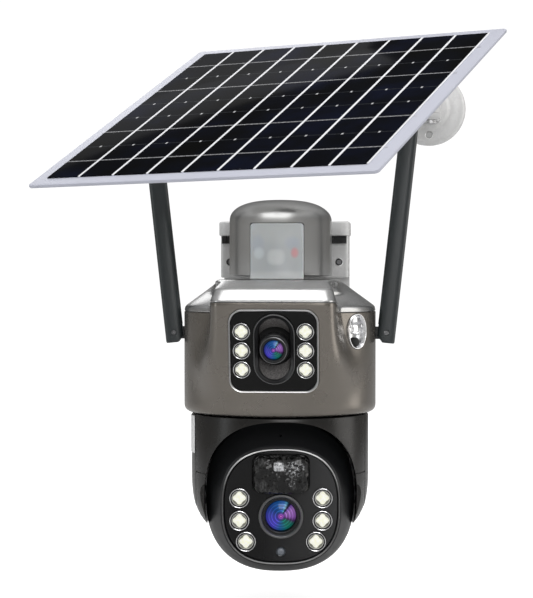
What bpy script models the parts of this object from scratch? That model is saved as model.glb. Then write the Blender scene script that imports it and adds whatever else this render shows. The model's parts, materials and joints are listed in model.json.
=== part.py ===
"""Solar-powered pan and tilt security camera, as an assembly of separate solids.

Metres, +Z up. The wall is the plane y = 0 and the camera looks along -Y. The origin is the middle of
the wall bracket's back face. The camera's own vertical axis stands AXIS_OUT in front of the wall.
"""

import math

import bmesh
import bpy
from mathutils import Matrix, Vector

# ---------------------------------------------------------------- driving dimensions
GAP = 0.0003                    # clearance between pieces that touch
AXIS_OUT = 0.075                # wall to the camera's vertical axis
DRUM_R = 0.065                  # round body of the upper housing
HOUSING_BOTTOM = -0.1000
PARTING_SIDE = -0.0324          # where the roof meets the housing at the sides
PARTING_FRONT = -0.0254         # and at the raised front box
ROOF_TOP = -0.0108
SHELL = 0.0025                  # moulded wall thickness
BOX_HALF = 0.0415               # half width of the front box
FACE_MIDDLE = 0.0719            # its reach in front of the axis, half way down
FASCIA_LEAN = math.radians(9.5)
FASCIA_CENTRE = (0.0008, -AXIS_OUT - 0.0722, -0.0566)
LENS_OFFSET = 0.0005            # the fixed lens sits a little right of the middle
CAP_R = 0.0343
CAP_BOTTOM = -0.0082
CAP_SHOULDER = 0.0280
CAP_TOP = 0.0431
YOKE_R = 0.0600
YOKE_TOP = -0.1012
TILT_Z = -0.1575                # height of the tilt axis
ARCH_R = 0.0510                 # half the width of the opening for the ball
ARCH_RISE = 0.0540              # and its height above the tilt axis
HEAD_R, HEAD_RISE, HEAD_POWER = 0.0505, 0.0518, 2.4      # the head turned about its tilt axis
PAN_REST = math.radians(4.8)
TILT_REST = math.radians(5.0)
FACE_HALF_W, FACE_HALF_H, FACE_POWER = 0.0389, 0.0386, 2.6
FACE_OUT = 0.0400               # tilt axis to the rim round the face
ANTENNA_X = 0.0723
ANTENNA_Z = -0.0470
ANTENNA_LEAN = math.radians(6.3)
BLADE_TOP = 0.145
PANEL_W, PANEL_H = 0.228, 0.2462
PANEL_THICK = 0.0030
PANEL_CENTRE = Vector((0.00492, -0.17385, 0.10084))   # middle of the upper face
PANEL_ALONG = Vector((0.9285, -0.3710, 0.0175))       # along the long rows of cells
PANEL_UP = Vector((0.3301, 0.8459, 0.4190))           # up the slope
TILT_DROP = 0.0200              # upper face to the tilt bolt
BASE_X, BASE_Z, BASE_R = 0.1017, 0.1101, 0.0260       # round wall base of the panel's arm
SWING_OUT = 0.0270              # wall to the swing pin
GEAR_MODULE, GEAR_TEETH, PINION_TEETH = 0.0012, 30, 10
GEAR_Z = -0.0905

# ---------------------------------------------------------------- scene and materials
for old in list(bpy.data.objects):
    bpy.data.objects.remove(old)

PARTS = bpy.data.collections.new("solar_camera")
CUTTERS = bpy.data.collections.new("cutters")
for group in (PARTS, CUTTERS):
    bpy.context.scene.collection.children.link(group)


def material(name, colour, roughness, metallic=0.0):
    made = bpy.data.materials.new(name)
    made.use_nodes = True
    shader = made.node_tree.nodes["Principled BSDF"]
    shader.inputs["Base Color"].default_value = (*colour, 1.0)
    shader.inputs["Roughness"].default_value = roughness
    shader.inputs["Metallic"].default_value = metallic
    return made


WHITE = material("white_plastic", (0.86, 0.86, 0.86), 0.40)
GUNMETAL = material("gunmetal_paint", (0.24, 0.23, 0.22), 0.25, 0.6)
SILVER = material("silver_paint", (0.55, 0.55, 0.55), 0.28, 0.7)
BLACK = material("black_plastic", (0.025, 0.026, 0.028), 0.42)
GLOSS = material("smoked_acrylic", (0.012, 0.012, 0.013), 0.08)
CHROME = material("bright_metal", (0.80, 0.80, 0.82), 0.15, 1.0)
STEEL = material("steel", (0.55, 0.55, 0.56), 0.35, 1.0)
RUBBER = material("rubber", (0.03, 0.03, 0.03), 0.75)
GLASS = material("lens_glass", (0.05, 0.05, 0.20), 0.03)
DIFFUSER = material("diffuser", (0.74, 0.76, 0.78), 0.35)
CELLS = material("solar_cells", (0.010, 0.011, 0.018), 0.18)
BOARD = material("circuit_board", (0.04, 0.20, 0.08), 0.50)
BATTERY = material("battery_wrap", (0.10, 0.25, 0.55), 0.40)
GEAR = material("gear_plastic", (0.85, 0.84, 0.78), 0.45)


# ---------------------------------------------------------------- modelling helpers
def empty(name, location, rotation=(0, 0, 0), parent=None):
    """A named frame that pieces hang from, with its origin on a joint's axis."""
    made = bpy.data.objects.new(name, None)
    made.location = location
    made.rotation_euler = rotation
    made.parent = parent
    PARTS.objects.link(made)
    return made


def place(name, mesh, finish, parent=None, location=(0, 0, 0), rotation=(0, 0, 0)):
    """A part with its material, or a hidden cutter where finish is None."""
    made = bpy.data.objects.new(name, mesh)
    made.location = location
    made.rotation_euler = rotation
    made.parent = parent
    if finish is None:
        CUTTERS.objects.link(made)
        made.hide_render = True
        made.display_type = "WIRE"
    else:
        PARTS.objects.link(made)
        mesh.materials.append(finish)
    return made


def finished(name, mesh):
    data = bpy.data.meshes.new(name)
    bmesh.ops.recalc_face_normals(mesh, faces=mesh.faces)
    mesh.to_mesh(data)
    mesh.free()
    return data


def smooth(obj, degrees=35):
    obj.data.shade_smooth()
    obj.data.set_sharp_from_angle(angle=math.radians(degrees))
    return obj


def bevel(obj, width, segments=2):
    rounding = obj.modifiers.new("rounding", "BEVEL")
    rounding.width = width
    rounding.segments = segments
    rounding.limit_method = "ANGLE"
    return obj


def box(name, low, high, finish, parent=None, rounding=0.0):
    low, high = Vector(low), Vector(high)
    cube = bmesh.new()
    bmesh.ops.create_cube(cube, size=1)
    bmesh.ops.scale(cube, vec=high - low, verts=cube.verts)
    made = place(name, finished(name, cube), finish, parent, (low + high) / 2)
    return bevel(made, rounding) if rounding else made


TURN_TO = {"X": (0, math.pi / 2, 0), "Y": (math.pi / 2, 0, 0), "Z": (0, 0, 0)}


def cylinder(name, radius, centre, length, finish, axis="Z", parent=None, sides=24, tip=None):
    """A round bar, tapered where tip gives its other radius. Along Y, its top is towards -Y."""
    bar = bmesh.new()
    bmesh.ops.create_cone(bar, cap_ends=True, segments=sides, radius1=radius,
                          radius2=radius if tip is None else tip, depth=length)
    return smooth(place(name, finished(name, bar), finish, parent, centre, TURN_TO[axis]))


def turned(name, profile, finish, axis="Z", parent=None, location=(0, 0, 0), steps=32, closed=False):
    """A lathe shape. The profile is (radius, height) points down the outer side, top to bottom."""
    line = bpy.data.meshes.new(name)
    count = len(profile)
    edges = [(i, i + 1) for i in range(count - 1)] + ([(count - 1, 0)] if closed else [])
    line.from_pydata([(radius, 0, height) for radius, height in profile], edges, [])
    made = place(name, line, finish, parent, location, TURN_TO[axis])
    lathe = made.modifiers.new("lathe", "SCREW")
    lathe.steps = lathe.render_steps = steps
    lathe.use_merge_vertices = True
    lathe.merge_threshold = 0.00001
    lathe.use_smooth_shade = True
    return made


def flat_outline(name, points, thickness, finish, parent=None, location=(0, 0, 0), facing="Y"):
    """A plate of even thickness, centred on location: a filled 2D curve made into a mesh.
    Points are (x, z) for a plate facing Y and (y, z) for one facing X."""
    curve = bpy.data.curves.new(name, "CURVE")
    curve.dimensions = "2D"
    curve.fill_mode = "BOTH"
    curve.extrude = thickness / 2
    spline = curve.splines.new("POLY")
    spline.points.add(len(points) - 1)
    for point, (across, up) in zip(spline.points, points):
        point.co = (across, up, 0, 1)
    spline.use_cyclic_u = True
    guide = bpy.data.objects.new(name + "_curve", curve)
    CUTTERS.objects.link(guide)
    bpy.context.view_layer.update()
    plate = bpy.data.meshes.new_from_object(guide.evaluated_get(bpy.context.evaluated_depsgraph_get()))
    bpy.data.objects.remove(guide)
    welded = bmesh.new()
    welded.from_mesh(plate)
    bmesh.ops.remove_doubles(welded, verts=welded.verts, dist=0.000001)
    turn = Matrix.Rotation(math.pi / 2, 4, "X")
    if facing == "X":
        turn = Matrix.Rotation(math.pi / 2, 4, "Z") @ turn
    bmesh.ops.transform(welded, matrix=turn, verts=welded.verts)
    return place(name, finished(name, welded), finish, parent, location)


def loft(name, rings, finish, parent=None, location=(0, 0, 0), caps=True, loop=False, tip=None):
    """Skins rings of equal point count. caps closes both ends, loop joins the last ring to the
    first, and tip draws the last ring to one point."""
    skin = bmesh.new()
    rows = [[skin.verts.new(point) for point in ring] for ring in rings]
    pairs = list(zip(rows, rows[1:])) + ([(rows[-1], rows[0])] if loop else [])
    for upper, lower in pairs:
        for i in range(len(upper)):
            j = (i + 1) % len(upper)
            skin.faces.new((upper[i], lower[i], lower[j], upper[j]))
    if tip:
        point = skin.verts.new(tip)
        for i in range(len(rows[-1])):
            skin.faces.new((rows[-1][i], point, rows[-1][(i + 1) % len(rows[-1])]))
    if caps and not loop:
        skin.faces.new(rows[0])
        skin.faces.new(list(reversed(rows[-1])))
    return smooth(place(name, finished(name, skin), finish, parent, location))


def boolean(target, cutter, operation):
    change = target.modifiers.new(operation.lower(), "BOOLEAN")
    change.operation = operation
    change.solver = "EXACT"
    change.object = cutter
    return target


def cut(target, *cutters):
    for cutter in cutters:
        boolean(target, cutter, "DIFFERENCE")
    return target


def keep_inside(target, cutter):
    return boolean(target, cutter, "INTERSECT")


def join(target, *others):
    for other in others:
        boolean(target, other, "UNION")
    return target


def arc(centre, radius, start, end, count):
    """Points on an arc, angles in degrees."""
    angles = [math.radians(start + (end - start) * i / (count - 1)) for i in range(count)]
    return [(centre[0] + radius * math.cos(a), centre[1] + radius * math.sin(a)) for a in angles]


def rounded_rectangle(width, height, radius, count=6):
    w, h = width / 2 - radius, height / 2 - radius
    corners = ((w, h, 0), (-w, h, 90), (-w, -h, 180), (w, -h, 270))
    return [p for x, z, start in corners for p in arc((x, z), radius, start, start + 90, count)]


def superellipse(half_w, half_h, power, count=40):
    points = []
    for i in range(count):
        angle = 2 * math.pi * i / count
        c, s = math.cos(angle), math.sin(angle)
        points.append((math.copysign(abs(c) ** (2 / power), c) * half_w,
                       math.copysign(abs(s) ** (2 / power), s) * half_h))
    return points


def smoothstep(low, high, value):
    t = min(1.0, max(0.0, (value - low) / (high - low)))
    return t * t * (3 - 2 * t)


def mix(a, b, share):
    return a + (b - a) * share


# ---------------------------------------------------------------- outlines of the upper housing
RING_POINTS = 48
ANGLES = [2 * math.pi * i / RING_POINTS for i in range(RING_POINTS)]   # 0 is the front, -Y


def squared_radius(angle, half_width, reach, power):
    """Distance from the axis to a rounded box, looking along angle."""
    across, ahead = abs(math.sin(angle)) / half_width, abs(math.cos(angle)) / reach
    return (across ** power + ahead ** power) ** (-1 / power)


def front_reach(z):
    """How far the leaning front face stands ahead of the axis."""
    return FACE_MIDDLE + (z - FASCIA_CENTRE[2]) * math.tan(FASCIA_LEAN)


def housing_radius(angle, z, inset=0.0):
    """The round drum with its front box. The box's sides open out further down, until they are
    tangent to the drum, and the whole box fades into the drum above the lower edge."""
    drum = DRUM_R
    off_front = abs(math.atan2(math.sin(angle), math.cos(angle)))
    reach = front_reach(z)
    corner = mix(BOX_HALF, 0.0350, smoothstep(-0.058, -0.088, z))
    span = math.hypot(corner, reach)
    tangent = math.atan2(corner, reach) + math.acos(min(1.0, DRUM_R / span))
    facing = mix(math.radians(89), tangent, smoothstep(-0.030, -0.076, z))
    if off_front < facing:
        side = corner * math.sin(facing) + reach * math.cos(facing)
        across = max(0.0, math.cos(off_front - facing)) / side
        ahead = math.cos(off_front) / reach
        front = (across ** 11 + ahead ** 11) ** (-1 / 11)
        share = smoothstep(facing, facing - 0.35, off_front)
        boxed = (drum ** 40 + share * front ** 40) ** (1 / 40)
        drum = mix(boxed, drum, smoothstep(-0.080, -0.0985, z))
    return drum - inset


def frontness(angle):
    """1 over the front box, 0 round the sides and back."""
    off_front = abs(math.atan2(math.sin(angle), math.cos(angle)))
    return 1 - smoothstep(math.radians(31), math.radians(40), off_front)


def ring(radius_at, height_at):
    """Points round the camera's axis, from a radius and a height for each angle."""
    return [(radius_at(a) * math.sin(a), -radius_at(a) * math.cos(a), height_at(a)) for a in ANGLES]


def parting(angle):
    return mix(PARTING_SIDE, PARTING_FRONT, frontness(angle))


# ---------------------------------------------------------------- wall bracket
def wall_bracket():
    """A flat back plate, a hollow moulded bracket with an ear at each side, and its latch bar."""
    half, ear_half = 0.0450, 0.0460
    plate = box("back_plate", (-half, -0.0040, -0.0295), (half, 0, 0.0295), WHITE)
    body = box("bracket_body", (-half, -0.0300, -0.0100), (half, -0.0043, 0.0205), WHITE)
    ears = flat_outline("ear_block", rounded_rectangle(2 * ear_half, 0.0317 + 0.012, 0.0065, 4), 0.0101, None)
    ears.rotation_euler = (math.pi / 2, 0, 0)
    ears.location = (0, -0.0043 + 0.006 - 0.0317 / 2, 0.02455)
    join(body, ears)
    cut(body, box("bracket_back", (-0.06, -0.0043, -0.02), (0.06, 0.02, 0.04), None),
        box("bracket_hollow", (-0.0415, -0.0265, -0.0065), (0.0415, 0.0, 0.0265), None))
    bar = box("latch_bar", (-0.0438, -0.0340, 0.0140), (0.0438, -0.0303, 0.0192), BLACK)
    for side in (-1, 1):
        hole = cylinder(f"screw_way_{side}", 0.0027, (side * 0.0385, -0.015, 0.001), 0.05, None, "Y", sides=12)
        low_hole = cylinder(f"low_way_{side}", 0.0027, (side * 0.0385, 0, -0.0240), 0.02, None, "Y", sides=12)
        pocket = box(f"latch_pocket_{side}", (side * 0.0377 - 0.0030, -0.05, 0.0147),
                     (side * 0.0377 + 0.0030, -0.0313, 0.0185), None)
        cut(body, hole)
        cut(plate, hole, low_hole)
        cut(bar, pocket)


def support_arm():
    """The casting inside the cap that carries the camera: a beam, and a post with a flange under the roof."""
    beam = box("support_arm", (-0.0120, -AXIS_OUT, -0.0060), (0.0120, -0.0303, 0.0100), STEEL)
    post = turned("arm_post", [(0, 0.0105), (0.0110, 0.0105), (0.0110, -0.0165), (0.0180, -0.0165),
                               (0.0180, -0.0195), (0, -0.0195)], None, location=(0, -AXIS_OUT, 0), steps=28)
    join(beam, post)


# ---------------------------------------------------------------- upper housing
def upper_housing():
    def skin(inset):
        rings = [ring(lambda a: housing_radius(a, PARTING_FRONT, inset), parting)]
        for z in (-0.0420, -0.0540, -0.0660, -0.0760, -0.0860, -0.0955):
            rings.append(ring(lambda a, z=z: housing_radius(a, z, inset), lambda a, z=z: z))
        return rings

    rim = [ring(lambda a: DRUM_R - 0.0013, lambda a: -0.0986),
           ring(lambda a: DRUM_R - 0.0045, lambda a: HOUSING_BOTTOM),
           ring(lambda a: DRUM_R - 0.0062, lambda a: HOUSING_BOTTOM)]
    body = loft("upper_housing", skin(0) + rim + skin(SHELL)[::-1], GUNMETAL,
                location=(0, -AXIS_OUT, 0), loop=True)
    window = flat_outline("window_way", rounded_rectangle(0.0588, 0.0553, 0.0092), 0.06, None, FASCIA)
    port = flat_outline("port_way", superellipse(0.0098, 0.0119, 2.2, 28), 0.03, None, PORT)
    cut(body, window, port)
    for side in (-1, 1):
        cut(body, cylinder(f"hub_way_{side}", 0.0051, (side * DRUM_R, -AXIS_OUT, ANTENNA_Z), 0.02, None, "X",
                           sides=20))
    turned("base_plate", [(0.0600, -0.0956), (0.0600, -0.0972), (0.0145, -0.0972), (0.0145, -0.0940),
                          (0.0190, -0.0940), (0.0205, -0.0956)],
           BLACK, location=(0, -AXIS_OUT, 0), steps=36, closed=True)


def roof_cover():
    """The paler lid: a short skirt, slopes to a flat top, and a shouldered front over the box."""
    inset = 0.0002

    def skirt_height(a):
        return mix(-0.0289, -0.0238, frontness(a))

    def shoulder(a):
        boxy = squared_radius(a, 0.0412, 0.0690, 9)
        return mix(0.0530, max(0.0530, boxy), frontness(a))

    def shoulder_height(a):
        return mix(-0.0205, -0.0165, frontness(a))

    def plateau(a):
        return squared_radius(a, 0.0395, 0.0570 if math.cos(a) > 0 else 0.0400, 6)

    def skin(inward, down):
        """The lid's surface, and again further in and down for its underside."""
        return [
            ring(lambda a: housing_radius(a, PARTING_FRONT, inset + inward), lambda a: parting(a) + GAP),
            ring(lambda a: housing_radius(a, PARTING_FRONT, inset + inward + 0.0003),
                 lambda a: skirt_height(a) - 0.6 * down),
            ring(lambda a: shoulder(a) - inward, lambda a: shoulder_height(a) - 0.8 * down),
            ring(lambda a: plateau(a) + 0.0020 - 0.6 * inward,
                 lambda a: mix(-0.0122, -0.0116, frontness(a)) - down),
            ring(lambda a: plateau(a) - 0.6 * inward, lambda a: ROOF_TOP - down),
            ring(lambda a: 0.0115, lambda a: ROOF_TOP - down),
        ]

    loft("roof_cover", skin(0, 0) + skin(SHELL, SHELL)[::-1], SILVER, location=(0, -AXIS_OUT, 0), loop=True)


def cap_radius(angle, scale=1.0):
    """Round in front and squared off behind, where the cap meets the bracket."""
    if math.cos(angle) >= 0:
        return CAP_R * scale
    return squared_radius(angle, CAP_R, AXIS_OUT - 0.0364, 9) * scale


def sensor_cap():
    """The domed cap over the bracket's arm, with a window in front for the sensor and its lights."""
    def dome(share):
        return (1 - share ** 2.5) ** (1 / 2.5)

    rings = [ring(cap_radius, lambda a: CAP_BOTTOM), ring(cap_radius, lambda a: CAP_SHOULDER)]
    for degrees in (22, 44, 62, 77):
        scale = math.cos(math.radians(degrees))
        height = mix(CAP_SHOULDER, CAP_TOP, dome(scale))
        rings.append(ring(lambda a, s=scale: cap_radius(a, s), lambda a, h=height: h))
    cap = loft("sensor_cap", rings, SILVER, location=(0, -AXIS_OUT, 0), caps=False, tip=(0, 0, CAP_TOP))
    wall = cap.modifiers.new("wall", "SOLIDIFY")
    wall.thickness = SHELL
    wall.offset = -1
    cut(cap, box("cap_window_way", (-0.0181, -0.12, -0.012), (0.0181, -0.0900, 0.0270), None),
        box("cap_arm_way", (-0.0128, -0.0450, -0.010), (0.0128, -0.0300, 0.0108), None))
    window = turned("sensor_window", [(0.0354, 0.0266), (0.0354, -0.0060), (0.0364, -0.0104),
                                      (0.0339, -0.0104), (0.0331, -0.0060), (0.0331, 0.0266)],
                    DIFFUSER, location=(0, -AXIS_OUT, 0), steps=60, closed=True)
    keep_inside(window, box("window_span", (-0.0178, -0.14, -0.02), (0.0178, -0.0900, 0.03), None))
    board = box("indicator_board", (-0.0150, -0.0960, -0.0050), (0.0150, -0.0945, 0.0230), BOARD)
    can = cylinder("motion_can", 0.0042, (0, -0.0985, 0.0020), 0.0060, None, "Y", sides=16)
    lights = [cylinder(f"light_{side}", 0.0025, (side * 0.0095, -0.0980, 0.0050), 0.0050, None, "Y", sides=12)
              for side in (-1, 1)]
    join(board, can, *lights)


def led_strip(name, places, radius, board_y, parent, low, high):
    """Three lamp cups standing on one narrow circuit board."""
    strip = box(name, (low[0], board_y, low[1]), (high[0], board_y + 0.0014, high[1]), CHROME, parent)
    for number, (x, z) in enumerate(places):
        cup = turned(f"{name}_cup_{number}",
                     [(0, 0.0012), (radius * 0.30, 0.0012), (radius * 0.72, 0.0036),
                      (radius, 0.0036), (radius, -0.0040), (0, -0.0040)],
                     None, "Y", parent, (x, board_y - 0.0036 + 0.0002, z), steps=14)
        join(strip, cup)
    return strip


def front_window():
    """The smoked window in the front box: frame, window, lamps and the shroud of the fixed lens."""
    frame = flat_outline("window_bezel", rounded_rectangle(0.0582, 0.0547, 0.0089), 0.0060, SILVER, FASCIA,
                         (0, 0.0020, 0))
    inner = rounded_rectangle(0.0558, 0.0523, 0.0078)
    cut(frame, flat_outline("bezel_way", inner, 0.03, None, FASCIA))
    window = flat_outline("front_window", rounded_rectangle(0.0552, 0.0517, 0.0075), 0.0020, GLOSS, FASCIA,
                          (0, 0.0006, 0))
    shroud_x, shroud_z = LENS_OFFSET, 0.0016
    outer = rounded_rectangle(0.0270, 0.0462, 0.01349, 7)
    slot = rounded_rectangle(0.0206, 0.0404, 0.01029, 6)
    cut(window, flat_outline("shroud_way", [(x * 1.025, z * 1.016) for x, z in outer], 0.02, None, FASCIA,
                             (shroud_x, 0, shroud_z)))
    shroud = flat_outline("lens_shroud", outer, 0.0160, BLACK, FASCIA, (shroud_x, 0.0050, shroud_z))
    cut(shroud, flat_outline("slot_way", slot, 0.0250, None, FASCIA, (shroud_x, 0.0015, shroud_z)))
    for side, name in ((-1, "left"), (1, "right")):
        places = [(side * 0.0206, z) for z in (0.0132, 0.0007, -0.0118)]
        for number, (x, z) in enumerate(places):
            cut(window, cylinder(f"lamp_way_{name}_{number}", 0.0059, (x, 0, z), 0.02, None, "Y", FASCIA, 12))
        edge_a, edge_b = sorted((side * 0.0150, side * 0.0262))
        led_strip(f"upper_lamps_{name}", places, 0.0056, 0.0046, FASCIA,
                  (edge_a, -0.0175), (edge_b, 0.0190))


def fixed_lens():
    """The small fixed lens in its ball, which is nudged up or down by hand inside the shroud."""
    holder = turned("fixed_lens_holder", [(0, 0.0052), (0.0085, 0.0052), (0.0098, 0.0030), (0.0101, 0),
                                          (0.0085, -0.0054), (0, -0.0054)], BLACK, "Y", LENS_PIVOT, steps=24)
    cut(holder, cylinder("barrel_way", 0.0072, (0, -0.0020, 0), 0.0100, None, "Y", LENS_PIVOT))
    turned("fixed_lens_barrel", [(0, 0.0040), (0.0062, 0.0046), (0.0066, 0.0094), (0.0088, 0.0094),
                                 (0.0088, 0.0058), (0.0069, 0.0055), (0.0069, -0.0026), (0, -0.0026)],
           BLACK, "Y", LENS_PIVOT, steps=24)
    turned("fixed_lens_glass", [(0, 0.0086), (0.0032, 0.0082), (0.0058, 0.0066), (0.0058, 0.0052),
                                (0, 0.0052)], GLASS, "Y", LENS_PIVOT, steps=24)


def port():
    """The service port on the right: a bright dished cup, its flap and a rubber plug."""
    cup = flat_outline("port_cup", superellipse(0.0095, 0.0116, 2.2, 28), 0.0090, CHROME, PORT, (0, 0.0034, 0))
    dish = flat_outline("dish_way", superellipse(0.0085, 0.0106, 2.2, 28), 0.0100, None, PORT, (0, -0.0010, 0))
    cut(cup, dish)
    for side in (-1, 1):
        inner, outer = sorted((side * 0.0049, side * 0.0062))
        join(cup, box(f"flap_lug_{side}", (inner, 0.0, 0.0024), (outer, 0.0055, 0.0046), None, PORT))
    box("port_flap", (-0.0046, -0.0012, -0.0050), (0.0046, 0.0012, 0.0012), CHROME, FLAP, 0.0005)
    cylinder("port_plug", 0.0030, (0.0, 0.0021, -0.0070), 0.0030, RUBBER, "Y", PORT, 18)


def inner_works():
    """What fills the housing: the circuit board, the battery cells and the pan drive."""
    box("main_board", (-0.0360, -0.0604, -0.0880), (0.0360, -0.0588, -0.0360), BOARD)
    for number, x in enumerate((-0.0215, 0.0, 0.0215), 1):
        cylinder(f"battery_cell_{number}", 0.0092, (x, -0.0420, -0.0610), 0.0650, BATTERY, sides=20)
    centre = (GEAR_TEETH + PINION_TEETH) * GEAR_MODULE / 2
    turned("pan_motor", [(0, -0.0660), (0.0130, -0.0660), (0.0130, -0.0840), (0.0022, -0.0840),
                         (0.0022, -0.0868), (0, -0.0868)], STEEL,
           location=(-centre, -AXIS_OUT, 0), steps=24)


def gear_outline(teeth, turn=0.0):
    """A spur gear outline with straight-sided teeth and running backlash."""
    pitch = teeth * GEAR_MODULE / 2
    root, tip = pitch - 0.85 * GEAR_MODULE, pitch + 0.65 * GEAR_MODULE
    step = 2 * math.pi / teeth
    points = []
    for tooth in range(teeth):
        middle = tooth * step + turn
        for radius, share in ((root, -0.27), (tip, -0.11), (tip, 0.11), (root, 0.27)):
            points.append((radius * math.cos(middle + share * step), radius * math.sin(middle + share * step)))
    return points


def pan_drive():
    gear = flat_outline("pan_gear", gear_outline(GEAR_TEETH, PAN_REST), 0.0040, GEAR, PAN,
                        (0, 0, GEAR_Z - YOKE_TOP))
    gear.rotation_euler = (math.pi / 2, 0, 0)
    cut(gear, cylinder("gear_way", 0.0103, (0, 0, GEAR_Z - YOKE_TOP), 0.02, None, parent=PAN))
    pinion = flat_outline("pan_pinion", gear_outline(PINION_TEETH, math.pi / PINION_TEETH), 0.0050, GEAR,
                          PINION)
    pinion.rotation_euler = (math.pi / 2, 0, 0)
    cut(pinion, cylinder("shaft_way", 0.0025, (0, 0, 0.0030), 0.0050, None, parent=PINION, sides=16))


# ---------------------------------------------------------------- antennas
def antenna(side, name, hub_frame, blade_frame):
    """A flat blade on a pin, in a hub that turns in the housing's side. side is 1 on the right."""
    hub = cylinder(f"antenna_hub_{name}", 0.0050, (-side * 0.0107, 0, 0), 0.0062, BLACK, "X", hub_frame, 20)
    tongue = flat_outline(f"tongue_{name}",
                          [(-side * 0.0100, 0.0042)] + [(side * x, z) for x, z in
                                                        arc((0, 0), 0.0042, 90, -90, 9)]
                          + [(-side * 0.0100, -0.0042)], 0.0040, None, hub_frame)
    join(hub, tongue)
    cut(hub, cylinder(f"pin_way_{name}", 0.00165, (0, 0, 0), 0.02, None, "Y", hub_frame, 14))

    half_w, half_t, foot = 0.00625, 0.0046, -0.0068
    sections = [(foot, 0.94), (foot + 0.001, 1.0), (0.060, 1.0), (BLADE_TOP - 0.008, 0.98),
                (BLADE_TOP - 0.003, 0.86), (BLADE_TOP, 0.55)]
    rings = [[(x * s, y * s, z) for x, y in superellipse(half_w, half_t, 2.8, 16)] for z, s in sections]
    blade = loft(f"antenna_blade_{name}", rings, BLACK, blade_frame)
    corner = [(-side * 0.0090, -0.0022 + 0.00298), (-side * 0.0090, -0.0100), (-side * -0.00095, -0.0100)]
    cut(blade, box(f"fork_way_{name}", (-0.0090 if side > 0 else -0.0052, -0.0023, -0.0100),
                   (0.0052 if side > 0 else 0.0090, 0.0023, 0.0052), None, blade_frame),
        flat_outline(f"foot_chamfer_{name}", corner, 0.02, None, blade_frame),
        cylinder(f"blade_way_{name}", 0.00165, (0, 0, 0), 0.02, None, "Y", blade_frame, 14))
    turned(f"antenna_screw_{name}", [(0, 0.0047), (0.00155, 0.0047), (0.00155, -0.0047), (0, -0.0047)],
           STEEL, "Y", blade_frame, steps=14)


# ---------------------------------------------------------------- pan yoke
def yoke_profile():
    """Outer side of the yoke: a straight wall that curves in towards the foot of the arms."""
    wall = [(YOKE_R, 0.0), (YOKE_R, -0.0400), (0.0598, -0.0485), (0.0585, -0.0590), (0.0541, -0.0696),
            (0.0487, -0.0764), (0.0400, -0.0840)]
    return wall


def yoke():
    """A round cap with two arms, a flat cover over the outer side of each arm, and a hub above."""
    tilt_z = TILT_Z - YOKE_TOP
    body = turned("yoke", [(0, 0.0)] + yoke_profile() + [(0, -0.0840)], BLACK, parent=PAN, steps=48)
    side_view = ([(0.064, 0.01), (0.064, -0.0440), (0.034, -0.0450), (0.027, -0.0485), (0.0245, tilt_z)]
                 + arc((0, tilt_z), 0.0245, 0, -180, 15)[1:]
                 + [(-0.027, -0.0485), (-0.034, -0.0450), (-0.064, -0.0440), (-0.064, 0.01)])
    keep_inside(body, flat_outline("yoke_side_view", side_view, 0.15, None, PAN, facing="X"))
    keep_inside(body, box("yoke_width", (-0.0566, -0.07, -0.09), (0.0566, 0.07, 0.01), None, PAN))
    arch = superellipse(ARCH_R, ARCH_RISE, 2.5, 56)
    hollow = [(max(0.0, z), x) for x, z in arch if z >= -1e-9]        # behind the axis the opening is turned about it
    cut(body, flat_outline("arch_way", arch, 0.072, None, PAN, (0, -0.034, tilt_z)),
        turned("arch_hollow", hollow, None, "X", PAN, (0, 0, tilt_z), steps=40),
        cylinder("axle_way", 0.0063, (0, 0, tilt_z), 0.13, None, "X", PAN, 20))
    hub = turned("pan_hub", [(0.0100, 0.0160), (0.0100, 0.0075), (0.0135, 0.0075), (0.0135, -0.0010),
                             (0.0080, -0.0010), (0.0080, 0.0160)], None, parent=PAN, steps=24, closed=True)
    join(body, hub)
    for side, name in ((-1, "left"), (1, "right")):
        cover = turned(f"arm_cover_{name}", [(0, -0.0003)] + [(r, z - 0.0003) for r, z in yoke_profile()]
                       + [(0, -0.0843)], BLACK, parent=PAN, steps=48)
        near, far = sorted((side * 0.0569, side * 0.07))
        keep_inside(cover, box(f"cover_width_{name}", (near, -0.07, -0.09), (far, 0.07, 0.01), None, PAN))
    label_angles = [math.radians(a) for a in (-17.3, -12.6, -7.9, -3.2, 1.5)]
    label = []
    for radius in (YOKE_R + 0.0002, YOKE_R + 0.0005):
        label.append(radius)
    rings = []
    for z in (-0.0012, -0.0262):
        inner = [(-label[0] * math.cos(a), label[0] * math.sin(a), z) for a in label_angles]
        outer = [(-label[1] * math.cos(a), label[1] * math.sin(a), z) for a in reversed(label_angles)]
        rings.append(inner + outer)
    loft("blank_label", rings, WHITE, PAN)


# ---------------------------------------------------------------- tilting head
def face_ring(out, half_w, half_h, power, count=36):
    return [(x, -out, z) for x, z in superellipse(half_w, half_h, power, count)]


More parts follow.
